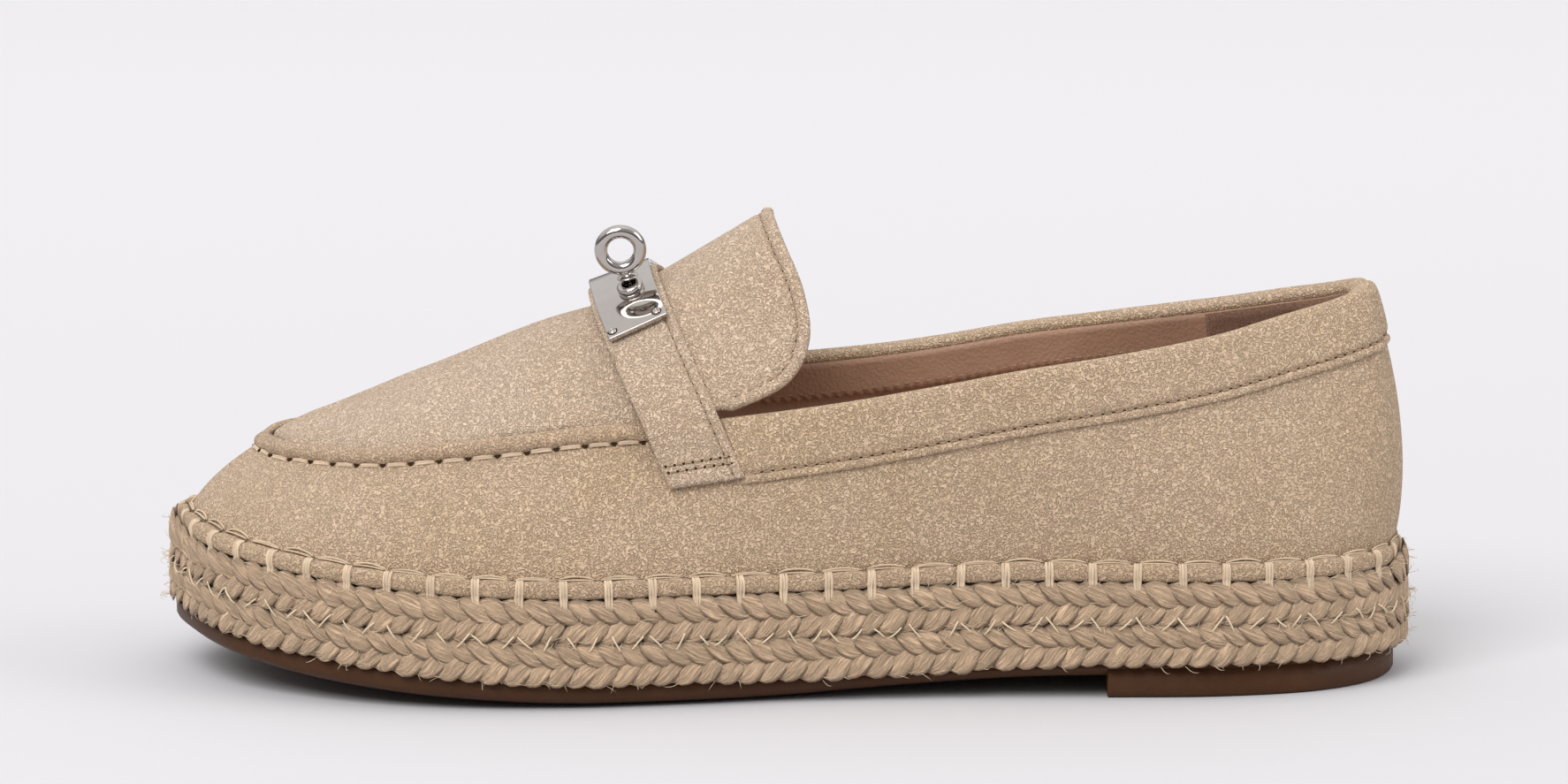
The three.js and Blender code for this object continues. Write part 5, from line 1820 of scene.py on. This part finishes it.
class SHOE_OT_stage(PieceOperator):
    """Pale floor and soft studio light"""

    bl_idname = "shoe.stage"
    bl_label = "Stage"

    def execute(self, context):
        bm = bmesh.new()
        bmesh.ops.create_grid(bm, x_segments=2, y_segments=2, size=8.0)
        mesh = to_mesh(bm, "floor")
        paint, tree, shader, where = blank("floor_paint", Roughness=0.9)
        far = node(tree, "SeparateXYZ", i0=where["Object"]).outputs["Y"]
        # The floor is painted darker towards the camera: painted shade that evens out the front light's
        # pool.
        front, back = linear(208, 207, 210), linear(240, 239, 242)
        fill(tree, shader, Base_Color=mixed(tree, ranged(tree, far, -0.3, 1.2), front, back))
        mesh.materials.append(paint)
        floor = bpy.data.objects.new("floor", mesh)
        context.scene.collection.objects.link(floor)
        world = bpy.data.worlds.new("studio")
        world.use_nodes = True
        tree = world.node_tree
        way = node(tree, "SeparateXYZ", i0=node(tree, "TexCoord").outputs["Generated"]).outputs
        walls = ranged(tree, way["Z"], 0.1, 0.55, 0.3, 1.0)
        dim = ranged(tree, way["Y"], -0.6, 0.1, 0.5, 1.0)
        black, white = (0.0, 0.0, 0.0, 1.0), (1.0, 0.985, 0.99, 1.0)
        shade = mixed(tree, times(tree, walls, dim), black, white)
        fill(tree, tree.nodes["Background"], Color=shade, Strength=0.95)
        context.scene.world = world
        lights = (
            ("overhead_light", (-0.15, -0.1, 1.9), (-0.09, 0, 0.03), 1.6, 2.2),
            ("front_light", (-0.9, -1.5, 1.8), (-0.09, 0, 0.03), 1.5, 41.0),
            ("heel_light", (1.8, -0.5, 1.0), (-0.05, 0, 0.04), 1.2, 10.5),
        )
        for name, place, target, width, power in lights:
            lamp = bpy.data.lights.new(name, "AREA")
            lamp.shape = "SQUARE"
            lamp.size = width
            lamp.energy = power
            light = bpy.data.objects.new(name, lamp)
            light.location = place
            light.rotation_mode = "QUATERNION"
            light.rotation_quaternion = (Vector(target) - Vector(place)).to_track_quat("-Z", "Y")
            context.scene.collection.objects.link(light)
        context.scene.view_settings.view_transform = "Standard"
        return {"FINISHED"}


class SHOE_PT_panel(bpy.types.Panel):
    """Sizes, colours and pieces of the shoe"""

    bl_idname = "SHOE_PT_panel"
    bl_label = "Espadrille Loafer"
    bl_space_type = "VIEW_3D"
    bl_region_type = "UI"
    bl_category = "Shoe"

    def draw(self, context):
        for settings in (context.scene.espadrille_sizes, context.scene.espadrille_colours):
            box = self.layout.box()
            for name in settings.__annotations__:
                box.prop(settings, name)
        for operator in PIECES:
            self.layout.operator(operator.bl_idname)


PIECES = (
    SHOE_OT_camera,
    SHOE_OT_upper,
    SHOE_OT_lining,
    SHOE_OT_seam_roll,
    SHOE_OT_collar,
    SHOE_OT_tongue,
    SHOE_OT_strap,
    SHOE_OT_binding,
    SHOE_OT_braid,
    SHOE_OT_outsole,
    SHOE_OT_lock,
    SHOE_OT_stage,
)
CLASSES = (EspadrilleColours, EspadrilleSizes, *PIECES, SHOE_PT_panel)


def register():
    for cls in CLASSES:
        bpy.utils.register_class(cls)
    bpy.types.Scene.espadrille_colours = bpy.props.PointerProperty(type=EspadrilleColours)
    bpy.types.Scene.espadrille_sizes = bpy.props.PointerProperty(type=EspadrilleSizes)


def unregister():
    del bpy.types.Scene.espadrille_sizes
    del bpy.types.Scene.espadrille_colours
    for cls in reversed(CLASSES):
        bpy.utils.unregister_class(cls)


def main():
    register()
    for operator in PIECES:
        group_name, name = operator.bl_idname.split(".")
        getattr(getattr(bpy.ops, group_name), name)()


if __name__ == "__main__":
    main()
